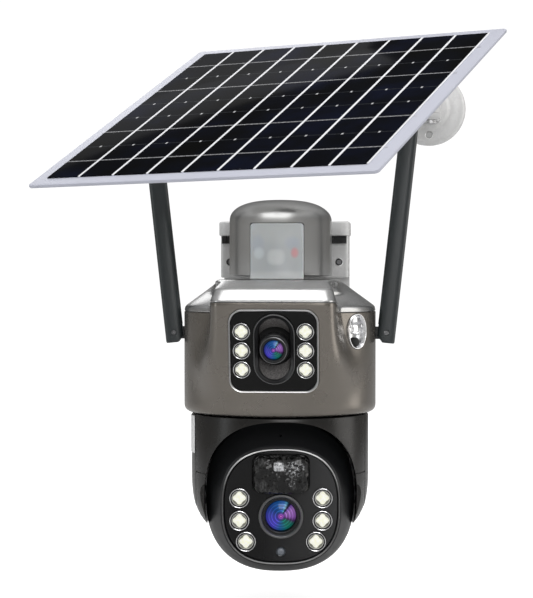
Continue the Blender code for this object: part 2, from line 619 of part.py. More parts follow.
def head_shells():
    """Front shell with the rim round the face, and a round rear shell with the two tilt stubs."""
    split = 0.0080
    outside = [(split, 0.0501, 0.0511, 2.4), (0.0200, 0.0472, 0.0477, 2.38), (0.0300, 0.0431, 0.0435, 2.45),
               (0.0370, 0.0400, 0.0400, 2.55), (FACE_OUT, FACE_HALF_W, FACE_HALF_H, FACE_POWER)]
    inside = [(FACE_OUT, 0.0379, 0.0376, FACE_POWER), (0.0355, 0.0377, 0.0374, FACE_POWER),
              (0.0300, 0.0390, 0.0392, 2.45), (split, 0.0474, 0.0484, 2.4)]
    loft("head_shell_front", [face_ring(*row) for row in outside + inside], BLACK, TILT, loop=True)

    def bowl(inset):
        """Half of a superellipse, as (distance from the tilt axis, place along it)."""
        points = []
        for i in range(19):
            c, d = math.cos(math.pi * i / 18), math.sin(math.pi * i / 18)
            points.append((max(0.0, d) ** (2 / HEAD_POWER) * (HEAD_RISE - inset),
                           math.copysign(abs(c) ** (2 / HEAD_POWER), c) * (HEAD_R - inset)))
        points[0], points[-1] = (0, HEAD_R - inset), (0, inset - HEAD_R)
        return points

    rear = turned("head_shell_rear", bowl(0), BLACK, "X", TILT, steps=36)
    cut(rear, turned("rear_hollow", bowl(0.0024), None, "X", TILT, steps=36))
    keep_inside(rear, box("rear_half", (-0.06, 0.0003 - split, -0.06), (0.06, 0.06, 0.06), None, TILT))
    for side in (-1, 1):
        join(rear, cylinder(f"tilt_stub_{side}", 0.0060, (side * 0.0520, 0, 0), 0.0085, None, "X",
                            TILT, 20))


def face():
    """Smoked face plate with its holes, and what looks out through them."""
    plate = flat_outline("face_plate", superellipse(0.0374, 0.0371, FACE_POWER, 36), 0.0020, GLOSS, TILT,
                         (0, -0.0378, 0))
    lens_z, motion_z = -0.0064, 0.0222
    cut(plate, cylinder("lens_way", 0.0152, (0, -0.038, lens_z), 0.02, None, "Y", TILT, 28))
    motion_outline = rounded_rectangle(0.0380, 0.0258, 0.0060, 4)
    cut(plate, flat_outline("motion_way", [(x * 1.016, z * 1.02) for x, z in motion_outline], 0.02, None,
                            TILT, (0, -0.038, motion_z)))
    cut(plate, cylinder("sensor_way", 0.0036, (0, -0.038, -0.0305), 0.02, None, "Y", TILT, 18))
    rows = ((0.0275, 0.0060), (0.0275, -0.0091), (0.0232, -0.0232))
    for side, name in ((-1, "left"), (1, "right")):
        places = [(side * x, z) for x, z in rows]
        for number, (x, z) in enumerate(places):
            cut(plate, cylinder(f"cup_way_{name}_{number}", 0.0069, (x, -0.038, z), 0.02, None, "Y", TILT, 14))
        edge_a, edge_b = sorted((side * 0.0190, side * 0.0290))
        led_strip(f"head_lamps_{name}", places, 0.0066, -0.0341, TILT, (edge_a, -0.0255), (edge_b, 0.0110))
    levels = ((0.0358, 1.0), (0.0405, 1.0), (0.0450, 0.93), (0.0475, 0.78), (0.0484, 0.50))
    rings = [[(x * s, -out, motion_z + z * s) for x, z in motion_outline] for out, s in levels]
    loft("motion_lens", rings, GLOSS, TILT)
    turned("zoom_lens_ring", [(0.0132, 0.0413), (0.0148, 0.0408), (0.0149, 0.0350), (0.0126, 0.0350),
                              (0.0126, 0.0400)], CHROME, "Y", TILT, (0, 0, lens_z), steps=28, closed=True)
    turned("zoom_lens_barrel", [(0, 0.0345), (0.0104, 0.0352), (0.0108, 0.0392), (0.0123, 0.0398),
                                (0.0123, 0.0200), (0, 0.0200)], BLACK, "Y", TILT, (0, 0, lens_z), steps=28)
    turned("zoom_lens_glass", [(0, 0.0398), (0.0050, 0.0393), (0.0101, 0.0370), (0.0101, 0.0356),
                               (0, 0.0356)], GLASS, "Y", TILT, (0, 0, lens_z), steps=28)
    turned("light_sensor", [(0, 0.0392), (0.0020, 0.0388), (0.0033, 0.0375), (0.0033, 0.0345), (0, 0.0345)],
           DIFFUSER, "Y", TILT, (0, 0, -0.0305), steps=18)
    box("head_board", (-0.0180, -0.0190, -0.0250), (0.0180, -0.0175, 0.0250), BOARD, TILT)
    cylinder("tilt_motor", 0.0120, (-0.0300, 0.0080, 0), 0.0200, STEEL, "X", TILT, 20)


# ---------------------------------------------------------------- solar panel and its arm
def panel_wall_base():
    """Round wall base with a fork for the arm."""
    frame = empty("wall_base_frame", (BASE_X, 0, BASE_Z))
    base = turned("panel_wall_base", [(0, 0.0105), (0.0125, 0.0105), (0.0150, 0.0072), (0.0225, 0.0064),
                                      (0.0250, 0.0050), (BASE_R, 0.0025), (BASE_R, 0), (0, 0)],
                  WHITE, "Y", frame, steps=32)
    fork = box("fork", (-0.0080, -SWING_OUT - 0.0080, -0.0095), (0.0080, -0.0020, 0.0095), None, frame)
    join(base, fork)
    cut(base, box("fork_slot", (-0.02, -0.05, -0.0053), (0.02, -SWING_OUT + 0.0100, 0.0053), None, frame),
        cylinder("swing_way", 0.0031, (0, -SWING_OUT, 0), 0.04, None, parent=frame, sides=16))
    for side in (-1, 1):
        cut(base, cylinder(f"base_hole_{side}", 0.0028, (0, 0, side * 0.0186), 0.04, None, "Y", frame, 16))
    turned("swing_pin", [(0, 0.0125), (0.0052, 0.0125), (0.0056, 0.0098), (0.0030, 0.0098),
                         (0.0030, -0.0098), (0.0050, -0.0098), (0.0050, -0.0122), (0, -0.0122)],
           STEEL, parent=frame, location=(0, -SWING_OUT, 0), steps=16)


def panel_arm(tilt_point):
    """A bent tube from the fork on the wall to the pad under the knuckle."""
    start = Vector((BASE_X, -SWING_OUT, BASE_Z))
    pad = Vector((tilt_point.x, tilt_point.y, tilt_point.z - 0.0200))
    flat = Vector((pad.x - start.x, pad.y - start.y, 0))
    reach, ahead = flat.length, flat.normalized()
    route = []
    for i in range(10):
        share = i / 9
        drop = smoothstep(0.12, 0.92, share) * (pad.z - start.z)
        route.append(start + ahead * (0.006 + (reach - 0.012) * share) + Vector((0, 0, drop)))
    curve = bpy.data.curves.new("panel_arm", "CURVE")
    curve.dimensions = "3D"
    curve.bevel_depth = 0.0048
    curve.bevel_resolution = 2
    curve.use_fill_caps = True
    spline = curve.splines.new("POLY")
    spline.points.add(len(route) - 1)
    for point, where in zip(spline.points, route):
        point.co = (*where, 1)
    guide = bpy.data.objects.new("arm_tube", curve)
    CUTTERS.objects.link(guide)
    bpy.context.view_layer.update()
    tube = bpy.data.meshes.new_from_object(guide.evaluated_get(bpy.context.evaluated_depsgraph_get()))
    bpy.data.objects.remove(guide)
    welded = bmesh.new()
    welded.from_mesh(tube)
    bmesh.ops.remove_doubles(welded, verts=welded.verts, dist=0.000001)
    arm = smooth(place("panel_arm", finished("panel_arm", welded), WHITE))
    eye = cylinder("arm_eye", 0.0078, start, 0.0100, None, sides=20)
    foot = cylinder("arm_pad", 0.0092, pad, 0.0100, None, sides=20)
    join(arm, eye, foot)
    cut(arm, cylinder("eye_way", 0.0031, start, 0.03, None, sides=16),
        cylinder("pad_way", 0.0031, pad, 0.03, None, sides=16))


def knuckle():
    """Turns on the arm's pad, and carries the tilt bolt. KNUCKLE's X lies along the bolt."""
    base = turned("tilt_knuckle", [(0, -0.0085), (0.0088, -0.0085), (0.0092, -0.0090), (0.0092, -0.0147),
                                   (0.0030, -0.0147), (0.0030, -0.0268), (0, -0.0268)],
                  WHITE, parent=KNUCKLE, steps=20)
    tongue = flat_outline("tongue", arc((0, 0), 0.0062, 0, 180, 8) + [(-0.0066, -0.0110), (0.0066, -0.0110)],
                          0.0070, None, KNUCKLE, facing="X")
    join(base, tongue)
    cut(base, cylinder("knuckle_way", 0.0021, (0, 0, 0), 0.03, None, "X", PANEL, 16))


def solar_panel():
    """The laminated panel, its mount and what is on its back. PANEL's Z is the panel's normal."""
    top = TILT_DROP
    plate = box("panel_plate", (-PANEL_W / 2, -PANEL_H / 2, top - PANEL_THICK),
                (PANEL_W / 2, PANEL_H / 2, top - 0.0008), WHITE, PANEL)
    bevel(plate, 0.0006, 1)
    margin_w, margin_h = 0.0390 * PANEL_W, 0.0385 * PANEL_H
    box("cell_sheet", (-PANEL_W / 2 + margin_w, -PANEL_H / 2 + margin_h, top - 0.0008 + 0.0002),
        (PANEL_W / 2 - margin_w, PANEL_H / 2 - margin_h, top), CELLS, PANEL)
    under = top - PANEL_THICK - GAP
    mount = box("panel_mount", (-0.0300, -0.0220, under - 0.0030), (0.0300, 0.0220, under), WHITE, PANEL)
    for side in (-1, 1):
        ear = flat_outline(f"mount_ear_{side}", arc((0, 0), 0.0062, 180, 360, 8) +
                           [(0.0085, under - 0.0010), (-0.0085, under - 0.0010)], 0.0034, None, PANEL,
                           (side * 0.0055, 0, 0), facing="X")
        join(mount, ear)
    cut(mount, cylinder("mount_way", 0.0021, (0, 0, 0), 0.04, None, "X", PANEL, 16))
    turned("tilt_bolt", [(0, 0.0095), (0.0040, 0.0095), (0.0040, 0.0075), (0.0020, 0.0075), (0.0020, -0.0130),
                         (0, -0.0130)], STEEL, "X", PANEL, steps=16)
    knob = cylinder("tilt_knob", 0.0068, (-0.0109, 0, 0), 0.0064, BLACK, "X", PANEL, 12)
    cut(knob, cylinder("knob_way", 0.0021, (-0.0085, 0, 0), 0.0140, None, "X", PANEL, 16))
    case = box("junction_box", (-0.0260, 0.0400, under - 0.0130), (0.0260, 0.0740, under), BLACK, PANEL, 0.0015)
    join(case, cylinder("cable_gland", 0.0048, (0, 0.0385, under - 0.0070), 0.0090, None, "Y", PANEL, 16))


# ---------------------------------------------------------------- frames on the joints' axes
FASCIA = empty("fascia_frame", FASCIA_CENTRE, (FASCIA_LEAN, 0, 0))
LENS_PIVOT = empty("fixed_lens_axis", (LENS_OFFSET, 0.0010, 0.0023), parent=FASCIA)
PORT_TURN = math.radians(55)
PORT = empty("port_frame", (DRUM_R * math.sin(PORT_TURN), -AXIS_OUT - DRUM_R * math.cos(PORT_TURN), -0.0449),
             (0, 0, PORT_TURN))
FLAP = empty("flap_axis", (0, 0.0012, 0.0035), parent=PORT)
PAN = empty("pan_axis", (0, -AXIS_OUT, YOKE_TOP), (0, 0, PAN_REST))
TILT = empty("tilt_axis", (0, 0, TILT_Z - YOKE_TOP), (TILT_REST, 0, 0), PAN)
PINION = empty("pinion_axis", (-(GEAR_TEETH + PINION_TEETH) * GEAR_MODULE / 2, -AXIS_OUT, GEAR_Z))

along = PANEL_ALONG.normalized()
up_slope = (PANEL_UP - along * PANEL_UP.dot(along)).normalized()
normal = along.cross(up_slope)
TILT_POINT = PANEL_CENTRE - normal * TILT_DROP
PANEL = empty("panel_tilt_axis", TILT_POINT, Matrix((along, up_slope, normal)).transposed().to_euler())
KNUCKLE = empty("panel_swivel_axis", TILT_POINT, (0, 0, math.atan2(along.y, along.x)))

wall_bracket()
support_arm()
upper_housing()
roof_cover()
sensor_cap()
front_window()
fixed_lens()
port()
inner_works()
pan_drive()
for SIDE, NAME in ((-1, "left"), (1, "right")):
    HUB = empty(f"antenna_swivel_{NAME}", (SIDE * ANTENNA_X, -AXIS_OUT, ANTENNA_Z))
    BLADE = empty(f"antenna_fold_{NAME}", (0, 0, 0), (0, SIDE * ANTENNA_LEAN, 0), HUB)
    antenna(SIDE, NAME, HUB, BLADE)
yoke()
head_shells()
face()
panel_wall_base()
panel_arm(TILT_POINT)
knuckle()
solar_panel()
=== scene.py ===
"""Looks for the solar-powered pan and tilt camera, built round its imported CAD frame.

Metres, +Z up, the wall at y = 0. Pieces seen from the front are built in frames whose -Y looks out,
so a height there is a distance out from the frame's origin.
"""

import json
import math

import bmesh
import bpy
from mathutils import Matrix, Vector

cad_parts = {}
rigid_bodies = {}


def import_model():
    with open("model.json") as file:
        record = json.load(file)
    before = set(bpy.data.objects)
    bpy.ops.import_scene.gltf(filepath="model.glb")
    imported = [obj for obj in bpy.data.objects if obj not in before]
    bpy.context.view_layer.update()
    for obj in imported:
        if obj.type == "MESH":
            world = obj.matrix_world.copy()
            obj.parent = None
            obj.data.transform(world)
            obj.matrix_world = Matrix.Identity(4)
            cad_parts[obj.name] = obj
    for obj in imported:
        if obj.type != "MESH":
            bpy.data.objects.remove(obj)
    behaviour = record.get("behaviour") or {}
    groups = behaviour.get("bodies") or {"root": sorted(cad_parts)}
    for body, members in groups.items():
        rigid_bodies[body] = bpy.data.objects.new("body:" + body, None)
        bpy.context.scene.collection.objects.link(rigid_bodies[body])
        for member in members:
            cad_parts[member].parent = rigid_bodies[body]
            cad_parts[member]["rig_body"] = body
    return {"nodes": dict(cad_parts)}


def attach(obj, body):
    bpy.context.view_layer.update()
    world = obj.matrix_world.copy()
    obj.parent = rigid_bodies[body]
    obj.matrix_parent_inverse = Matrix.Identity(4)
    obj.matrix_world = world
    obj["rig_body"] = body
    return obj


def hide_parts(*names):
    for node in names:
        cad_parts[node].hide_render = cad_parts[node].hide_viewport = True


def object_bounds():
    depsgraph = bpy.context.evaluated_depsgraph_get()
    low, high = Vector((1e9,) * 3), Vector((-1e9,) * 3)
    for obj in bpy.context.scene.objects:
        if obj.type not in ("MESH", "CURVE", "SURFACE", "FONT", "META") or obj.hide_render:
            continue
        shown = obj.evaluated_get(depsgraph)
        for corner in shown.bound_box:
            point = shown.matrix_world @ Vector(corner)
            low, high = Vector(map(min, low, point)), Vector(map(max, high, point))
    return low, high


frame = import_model()
CAD_LOW, CAD_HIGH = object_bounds()
NODES = frame["nodes"]

# ---------------------------------------------------------------- frames, as the CAD has them
AXIS_OUT = 0.075
DRUM_R = 0.065
TILT_DOWN = -0.0563             # the tilt axis, below the pan frame
HUB_HEIGHT = -0.0470            # the antenna hubs, in the sides of the drum
PANEL_W, PANEL_H, PANEL_TOP = 0.228, 0.2462, 0.0200
FORK_OUT = 0.0270               # the panel arm's pin, out from the wall
BRACKET_SCREW_X = 0.0385
BASE_SCREW_Z = 0.0186
ANTENNA_PIVOT_R = 0.00165
WINDOW_LAMP_X, WINDOW_LAMPS_Z = 0.0206, (0.0132, 0.0007, -0.0118)


def at(x, y, z):
    return Matrix.Translation((x, y, z))


def turn(degrees, axis):
    return Matrix.Rotation(math.radians(degrees), 4, axis)


WORLD = Matrix.Identity(4)
CAM_AXIS = at(0, -AXIS_OUT, 0)
FASCIA = at(0.0008, -0.1472, -0.0566) @ turn(9.5, "X")
LENS = FASCIA @ at(0.0005, 0.0010, 0.0023)
PORT = at(0, -AXIS_OUT, -0.0449) @ turn(55, "Z") @ at(0, -DRUM_R, 0)
FLAP = PORT @ at(0, 0.0012, 0.0035)
PAN = at(0, -AXIS_OUT, -0.1012) @ turn(4.8, "Z")
TILT = PAN @ at(0, 0, TILT_DOWN) @ turn(5, "X")
along = Vector((0.9285, -0.3710, 0.0175)).normalized()
rise = Vector((0.3301, 0.8459, 0.4190))
up_slope = (rise - along * rise.dot(along)).normalized()
normal = along.cross(up_slope)
TILT_POINT = Vector((0.00492, -0.17385, 0.10084)) - normal * PANEL_TOP
PANEL = Matrix((along, up_slope, normal)).transposed().to_4x4()
PANEL.translation = TILT_POINT
BASE = at(0.1017, 0, 0.1101)


# ---------------------------------------------------------------- finishes
class Finish:
    """A Principled material with short calls for its texture nodes. Textures read Object coordinates."""

    def __init__(self, name, colour, roughness, metallic=0.0, **sockets):
        self.material = bpy.data.materials.new(name)
        self.material.use_nodes = True
        self.tree = self.material.node_tree
        self.shader = self.tree.nodes["Principled BSDF"]
        self.set("Base Color", (*colour, 1.0))
        self.set("Roughness", roughness)
        self.set("Metallic", metallic)
        for socket, value in sockets.items():
            self.set(socket.replace("_", " "), value)
        self.where = self.tree.nodes.new("ShaderNodeTexCoord").outputs["Object"]

    def set(self, socket, value):
        self.shader.inputs[socket].default_value = value

    def add(self, kind, *links, **values):
        """A node whose first inputs take links, in order, with other values set by name."""
        made = self.tree.nodes.new(kind)
        for key, value in values.items():
            setattr(made, key, value)
        for number, source in enumerate(links):
            if source is None:
                continue
            if isinstance(source, (int, float)):
                made.inputs[number].default_value = source
            else:
                self.tree.links.new(source, made.inputs[number])
        return made

    def link(self, source, socket):
        self.tree.links.new(source, self.shader.inputs[socket])

    def stretched(self, x=1.0, y=1.0, z=1.0, source=None):
        node = self.add("ShaderNodeMapping", source or self.where)
        node.inputs["Scale"].default_value = (x, y, z)
        return node.outputs[0]

    def noise(self, scale, detail=3.0, source=None, roughness=0.5):
        node = self.add("ShaderNodeTexNoise", source or self.where)
        node.inputs["Scale"].default_value = scale
        node.inputs["Detail"].default_value = detail
        node.inputs["Roughness"].default_value = roughness
        return node.outputs["Fac"]

    def voronoi(self, scale, output="Distance", **values):
        node = self.add("ShaderNodeTexVoronoi", self.where, **values)
        node.inputs["Scale"].default_value = scale
        return node.outputs[output]

    def ramp(self, factor, stops, interpolation="LINEAR"):
        """stops are (place, colour) with colour a grey or a triple."""
        node = self.add("ShaderNodeValToRGB", factor)
        ramp = node.color_ramp
        ramp.interpolation = interpolation
        while len(ramp.elements) < len(stops):
            ramp.elements.new(1.0)
        for element, (place, colour) in zip(ramp.elements, stops):
            element.position = place
            element.color = (*((colour,) * 3 if isinstance(colour, (int, float)) else colour), 1.0)
        return node.outputs["Color"]

    def math(self, operation, a, b=None, c=None):
        return self.add("ShaderNodeMath", a, b, c, operation=operation).outputs[0]

    def blend(self, factor, a, b, mode="MIX"):
        node = self.add("ShaderNodeMix", data_type="RGBA", blend_type=mode)
        for socket, source in ((0, factor), (6, a), (7, b)):
            if isinstance(source, (int, float)):
                node.inputs[socket].default_value = source
            elif isinstance(source, tuple):
                node.inputs[socket].default_value = (*source, 1.0)
            else:
                self.tree.links.new(source, node.inputs[socket])
        return node.outputs[2]

    def split(self, source=None):
        return self.add("ShaderNodeSeparateXYZ", source or self.where).outputs

    def spread(self, source, start, end, low=0.0, high=1.0):
        """Runs from low to high while source runs from start to end."""
        return self.add("ShaderNodeMapRange", source, start, end, low, high).outputs[0]

    def spot(self, centre, half_size, stops, power=2, interpolation="LINEAR"):
        """A soft-edged spot on a face that looks along Y. stops run outwards from its centre."""
        x, _, z = self.split()
        terms = []
        for source, middle, half in zip((x, z), centre, half_size):
            off = self.math("DIVIDE", self.math("SUBTRACT", source, middle), half)
            terms.append(self.math("POWER", self.math("ABSOLUTE", off), power))
        return self.ramp(self.math("ADD", *terms), stops, interpolation)

    def rough(self, factor, low, high):
        self.link(self.spread(factor, 0.0, 1.0, low, high), "Roughness")

    def bump(self, height, strength, distance=0.0002):
        node = self.tree.nodes.new("ShaderNodeBump")
        node.inputs["Strength"].default_value = strength
        node.inputs["Distance"].default_value = distance
        self.tree.links.new(height, node.inputs["Height"])
        self.link(node.outputs[0], "Normal")

    def vary(self, colour, scale=40, amount=0.10, source=None):
        """A faint mottling of one colour, so that no surface is quite even."""
        low = tuple(c * (1 - amount) for c in colour)
        high = tuple(min(1.0, c * (1 + amount)) for c in colour)
        return self.ramp(self.noise(scale, 4, source), [(0.3, low), (0.7, high)])


def moulded(name, colour, low, high, grain=900, strength=0.12, amount=0.05, **sockets):
    """Moulded plastic: faint mottling, uneven gloss and a fine grain."""
    finish = Finish(name, colour, (low + high) / 2, **sockets)
    finish.link(finish.vary(colour, 35, amount), "Base Color")
    finish.rough(finish.noise(120, 5), low, high)
    finish.bump(finish.noise(grain, 3), strength)
    return finish


def painted(name, colour, low, high, metallic, flake=0.16, **sockets):
    """Metallic paint: fine flakes in the colour, soft mottling and slight orange peel."""
    finish = Finish(name, colour, (low + high) / 2, metallic, **sockets)
    flakes = finish.ramp(finish.noise(3200, 2), [(0.3, 1 - flake), (0.7, 1.0)])
    finish.link(finish.blend(1.0, finish.vary(colour, 22, 0.04), flakes, "MULTIPLY"), "Base Color")
    finish.rough(finish.noise(60, 3), low, high)
    finish.bump(finish.noise(140, 1), 0.03, 0.0001)
    return finish


WHITE = moulded("white_moulded", (0.66, 0.66, 0.66), 0.22, 0.32, strength=0.05, amount=0.02)
PANEL_WHITE = moulded("panel_border", (0.47, 0.48, 0.55), 0.30, 0.42, grain=500, strength=0.04, amount=0.02,
                      Specular_IOR_Level=0.15)
BACKSHEET = moulded("panel_back", (0.72, 0.72, 0.71), 0.45, 0.6, grain=700, strength=0.2)
GUNMETAL = painted("gunmetal", (0.205, 0.187, 0.166), 0.24, 0.30, 0.85, 0.06)
SILVER = painted("silver", (0.50, 0.50, 0.50), 0.22, 0.28, 0.92, 0.06)
CAP_SILVER = painted("cap_silver", (0.50, 0.50, 0.495), 0.26, 0.32, 0.92, 0.06)
BLACK = moulded("black_satin", (0.010, 0.0105, 0.0115), 0.34, 0.42, grain=1100, strength=0.08, Specular_IOR_Level=0.35)
YOKE_BLACK = moulded("black_yoke", (0.012, 0.011, 0.010), 0.24, 0.32, grain=700, strength=0.04, Specular_IOR_Level=0.35)
SEAM = moulded("black_seam", (0.004, 0.004, 0.004), 0.6, 0.8)
ANTENNA = moulded("antenna_grey", (0.020, 0.025, 0.027), 0.30, 0.40, grain=1300, strength=0.10)
SHROUD = moulded("black_shroud", (0.012, 0.012, 0.013), 0.26, 0.36, grain=900, strength=0.06)
# Grey lighter than the black round it, on raised rims and the zoom ring: a painted highlight line, over a real raised
# and shinier edge.
RIM_PAINTED_HIGHLIGHT = moulded("rim_grey_painted_highlight", (0.085, 0.085, 0.087), 0.20, 0.28, grain=500, strength=0.03)
RUBBER = moulded("rubber", (0.010, 0.010, 0.010), 0.65, 0.85, grain=600, strength=0.25)
GEAR = moulded("gear_plastic", (0.72, 0.70, 0.62), 0.35, 0.5)
LABEL = moulded("label_paper", (0.82, 0.82, 0.82), 0.45, 0.6, grain=1500, strength=0.08, amount=0.02)


def painted_light_by_height(finish, stops):
    """Paints light and shade into a finish's greys by height in its piece's own frame, such as painted highlights along
    lit edges. stops are (metres, grey).
    """
    low, high = stops[0][0], stops[-1][0]
    place = finish.spread(finish.split()[2], low, high)
    shade = finish.ramp(place, [((z - low) / (high - low), grey) for z, grey in stops])
    mottle = finish.ramp(finish.noise(60, 3), [(0.3, 0.92), (0.7, 1.0)])
    finish.link(finish.blend(1.0, shade, mottle, "MULTIPLY"), "Base Color")
    return finish


# The head's rim, with painted highlights: near white along its top arc and lighter at its bottom, dark between.
FACE_RIM_PAINTED_HIGHLIGHT = painted_light_by_height(moulded("face_rim_painted_highlight", (0.1, 0.1, 0.1), 0.22, 0.30, grain=500, strength=0.03),
                     [(-0.040, 0.34), (-0.034, 0.20), (-0.020, 0.060), (0.012, 0.070), (0.028, 0.40), (0.034, 0.90),
                      (0.040, 0.95)])


def gloss_black(name, colour, low=0.05, high=0.12, painted_reflection_grey=0.0, **sockets):
    """Smoked plastic, with a painted reflection when a grey is given: a broad dim lightening towards that grey on the
    right.
    """
    finish = Finish(name, colour, low, **sockets)
    body = finish.vary(colour, 30, 0.12)
    # painted reflection: the colour turns towards a lighter grey across to the right
    if painted_reflection_grey:
        body = finish.blend(finish.spread(finish.split()[0], -0.012, 0.036), body, (painted_reflection_grey, painted_reflection_grey, painted_reflection_grey * 1.02))
    finish.link(body, "Base Color")
    finish.rough(finish.noise(60, 4), low, high)
    finish.bump(finish.noise(25, 1), 0.02, 0.0002)
    return finish


WINDOW = gloss_black("smoked_window", (0.004, 0.004, 0.004), 0.10, 0.16, Specular_IOR_Level=0.18)
# the smoked plate carries a painted reflection, lighter towards its right
PLATE = gloss_black("smoked_plate", (0.005, 0.005, 0.0055), 0.14, 0.20, painted_reflection_grey=0.042, Specular_IOR_Level=0.22)


def metal(name, colour, low, high, brushed=0.0):
    """Bare or plated metal, with brush marks if brushed gives them a depth."""
    finish = Finish(name, colour, low, 1.0)
    finish.link(finish.vary(colour, 60, 0.07), "Base Color")
    finish.rough(finish.noise(150, 4), low, high)
    height = finish.noise(300, 3, finish.stretched(1, 1, 0.06)) if brushed else finish.noise(500, 3)
    finish.bump(height, brushed or 0.05, 0.0001)
    return finish


CHROME = metal("chrome", (0.80, 0.80, 0.81), 0.12, 0.20)
# The window frame, with painted highlights: light along its bottom edge and lighter at its top than at its sides.
TRIM_PAINTED_HIGHLIGHT = painted_light_by_height(metal("trim_painted_highlight", (0.48, 0.47, 0.455), 0.26, 0.34),
                 [(-0.028, 0.80), (-0.0255, 0.78), (-0.020, 0.36), (0.020, 0.34), (0.0275, 0.52)])
REFLECTOR = metal("reflector", (0.30, 0.30, 0.295), 0.16, 0.28)
GREY_RING = metal("lamp_ring", (0.62, 0.62, 0.61), 0.20, 0.30)
STEEL = metal("steel", (0.50, 0.50, 0.51), 0.28, 0.42, 0.3)
DARK_METAL = metal("dark_screw", (0.16, 0.16, 0.165), 0.30, 0.42)
CUP = metal("port_metal", (0.74, 0.74, 0.75), 0.20, 0.30)


def board_finish():
    finish = Finish("circuit_board", (0.03, 0.16, 0.07), 0.45)
    tracks = finish.voronoi(420, "Distance", feature="DISTANCE_TO_EDGE")
    finish.link(finish.ramp(tracks, [(0.0, (0.10, 0.30, 0.12)), (0.06, (0.02, 0.13, 0.05))]), "Base Color")
    finish.rough(finish.noise(200), 0.35, 0.55)
    finish.bump(tracks, 0.2)
    return finish


def battery_finish():
    finish = Finish("battery_wrap", (0.08, 0.20, 0.50), 0.30)
    finish.link(finish.vary((0.08, 0.20, 0.50), 50, 0.12), "Base Color")
    finish.rough(finish.noise(80), 0.2, 0.4)
    finish.bump(finish.noise(200, 2), 0.1)
    return finish


BOARD, BATTERY = board_finish(), battery_finish()


def chip_finish():
    """A lit lamp: a nearly white middle, yellower towards the edge of the phosphor."""
    finish = Finish("lamp_phosphor", (0.92, 0.90, 0.66), 0.4)
    colour = finish.ramp(finish.noise(700, 2), [(0.35, (0.60, 0.60, 0.48)), (0.60, (0.66, 0.66, 0.60))])
    finish.link(colour, "Base Color")
    finish.link(colour, "Emission Color")
    finish.set("Emission Strength", 0.62)
    finish.bump(finish.noise(1500, 2), 0.1)
    return finish


CHIP = chip_finish()


def glass_with_painted_reflections(name, radius):
    """A lens with the reflections of its coating painted in. Colours turn round the axis, with a painted highlight near
    the upper right, and darken and lighten in rings, in the lens's own frame.
    """
    finish = Finish(name, (0.03, 0.04, 0.2), 0.10, Specular_IOR_Level=0.25)
    x, _, z = finish.split()
    angle = finish.math("ARCTAN2", z, x)
    share = finish.math("ADD", finish.math("MULTIPLY", angle, 1 / (2 * math.pi)), 0.5)   # 0 and 1 are at the left
    # painted reflections: the coating's hues round the axis, with a dark gap and a bright cyan highlight at the upper
    # right
    around = finish.ramp(share, [
        (0.00, (0.050, 0.055, 0.42)), (0.14, (0.075, 0.060, 0.55)), (0.24, (0.015, 0.10, 0.30)),
        (0.33, (0.008, 0.17, 0.13)), (0.40, (0.010, 0.14, 0.11)), (0.44, (0.05, 0.02, 0.09)),
        (0.49, (0.26, 0.10, 0.42)), (0.58, (0.36, 0.17, 0.52)), (0.625, (0.20, 0.10, 0.42)),
        (0.64, (0.010, 0.010, 0.03)), (0.66, (0.012, 0.02, 0.06)), (0.685, (0.10, 0.36, 0.58)),
        (0.71, (0.05, 0.16, 0.50)), (0.78, (0.012, 0.10, 0.34)), (0.88, (0.012, 0.06, 0.26)),
        (1.00, (0.050, 0.055, 0.42))])
    length = finish.add("ShaderNodeVectorMath", finish.stretched(1, 0, 1), operation="LENGTH")
    out = finish.math("DIVIDE", length.outputs["Value"], radius)
    # painted highlights: thin lighter rings between darker bands
    rings = finish.ramp(out, [
        (0.00, 1.0), (0.10, 0.6), (0.16, 1.4), (0.22, 0.40), (0.34, 0.70), (0.38, 1.9), (0.41, 0.55),
        (0.56, 0.75), (0.60, 1.8), (0.63, 0.65), (0.76, 0.80), (0.79, 1.6), (0.82, 0.65), (0.95, 0.80), (1.00, 0.15)])
    # painted reflection at the centre: a pink spot in magenta rings
    centre = finish.ramp(out, [(0.0, (0.70, 0.25, 0.62)), (0.045, (0.45, 0.10, 0.50)), (0.08, (0.10, 0.02, 0.20)),
                               (0.13, (0.36, 0.08, 0.50)), (0.17, (0.10, 0.03, 0.25)), (0.30, (0.06, 0.02, 0.20))])
    inner = finish.ramp(out, [(0.14, 1.0), (0.30, 0.0)])
    body = finish.blend(inner, finish.blend(1.0, around, rings, "MULTIPLY"), centre)
    finish.link(finish.blend(1.0, body, (0.35, 0.35, 0.35), "MULTIPLY"), "Base Color")
    # painted glow: the glass is no lamp; its emission keeps the painted colours bright
    finish.link(body, "Emission Color")
    finish.set("Emission Strength", 0.62)
    finish.bump(finish.noise(80, 1), 0.02)
    return finish


ZOOM_GLASS = glass_with_painted_reflections("zoom_glass", 0.0101)
FIXED_GLASS = glass_with_painted_reflections("fixed_glass", 0.0061)


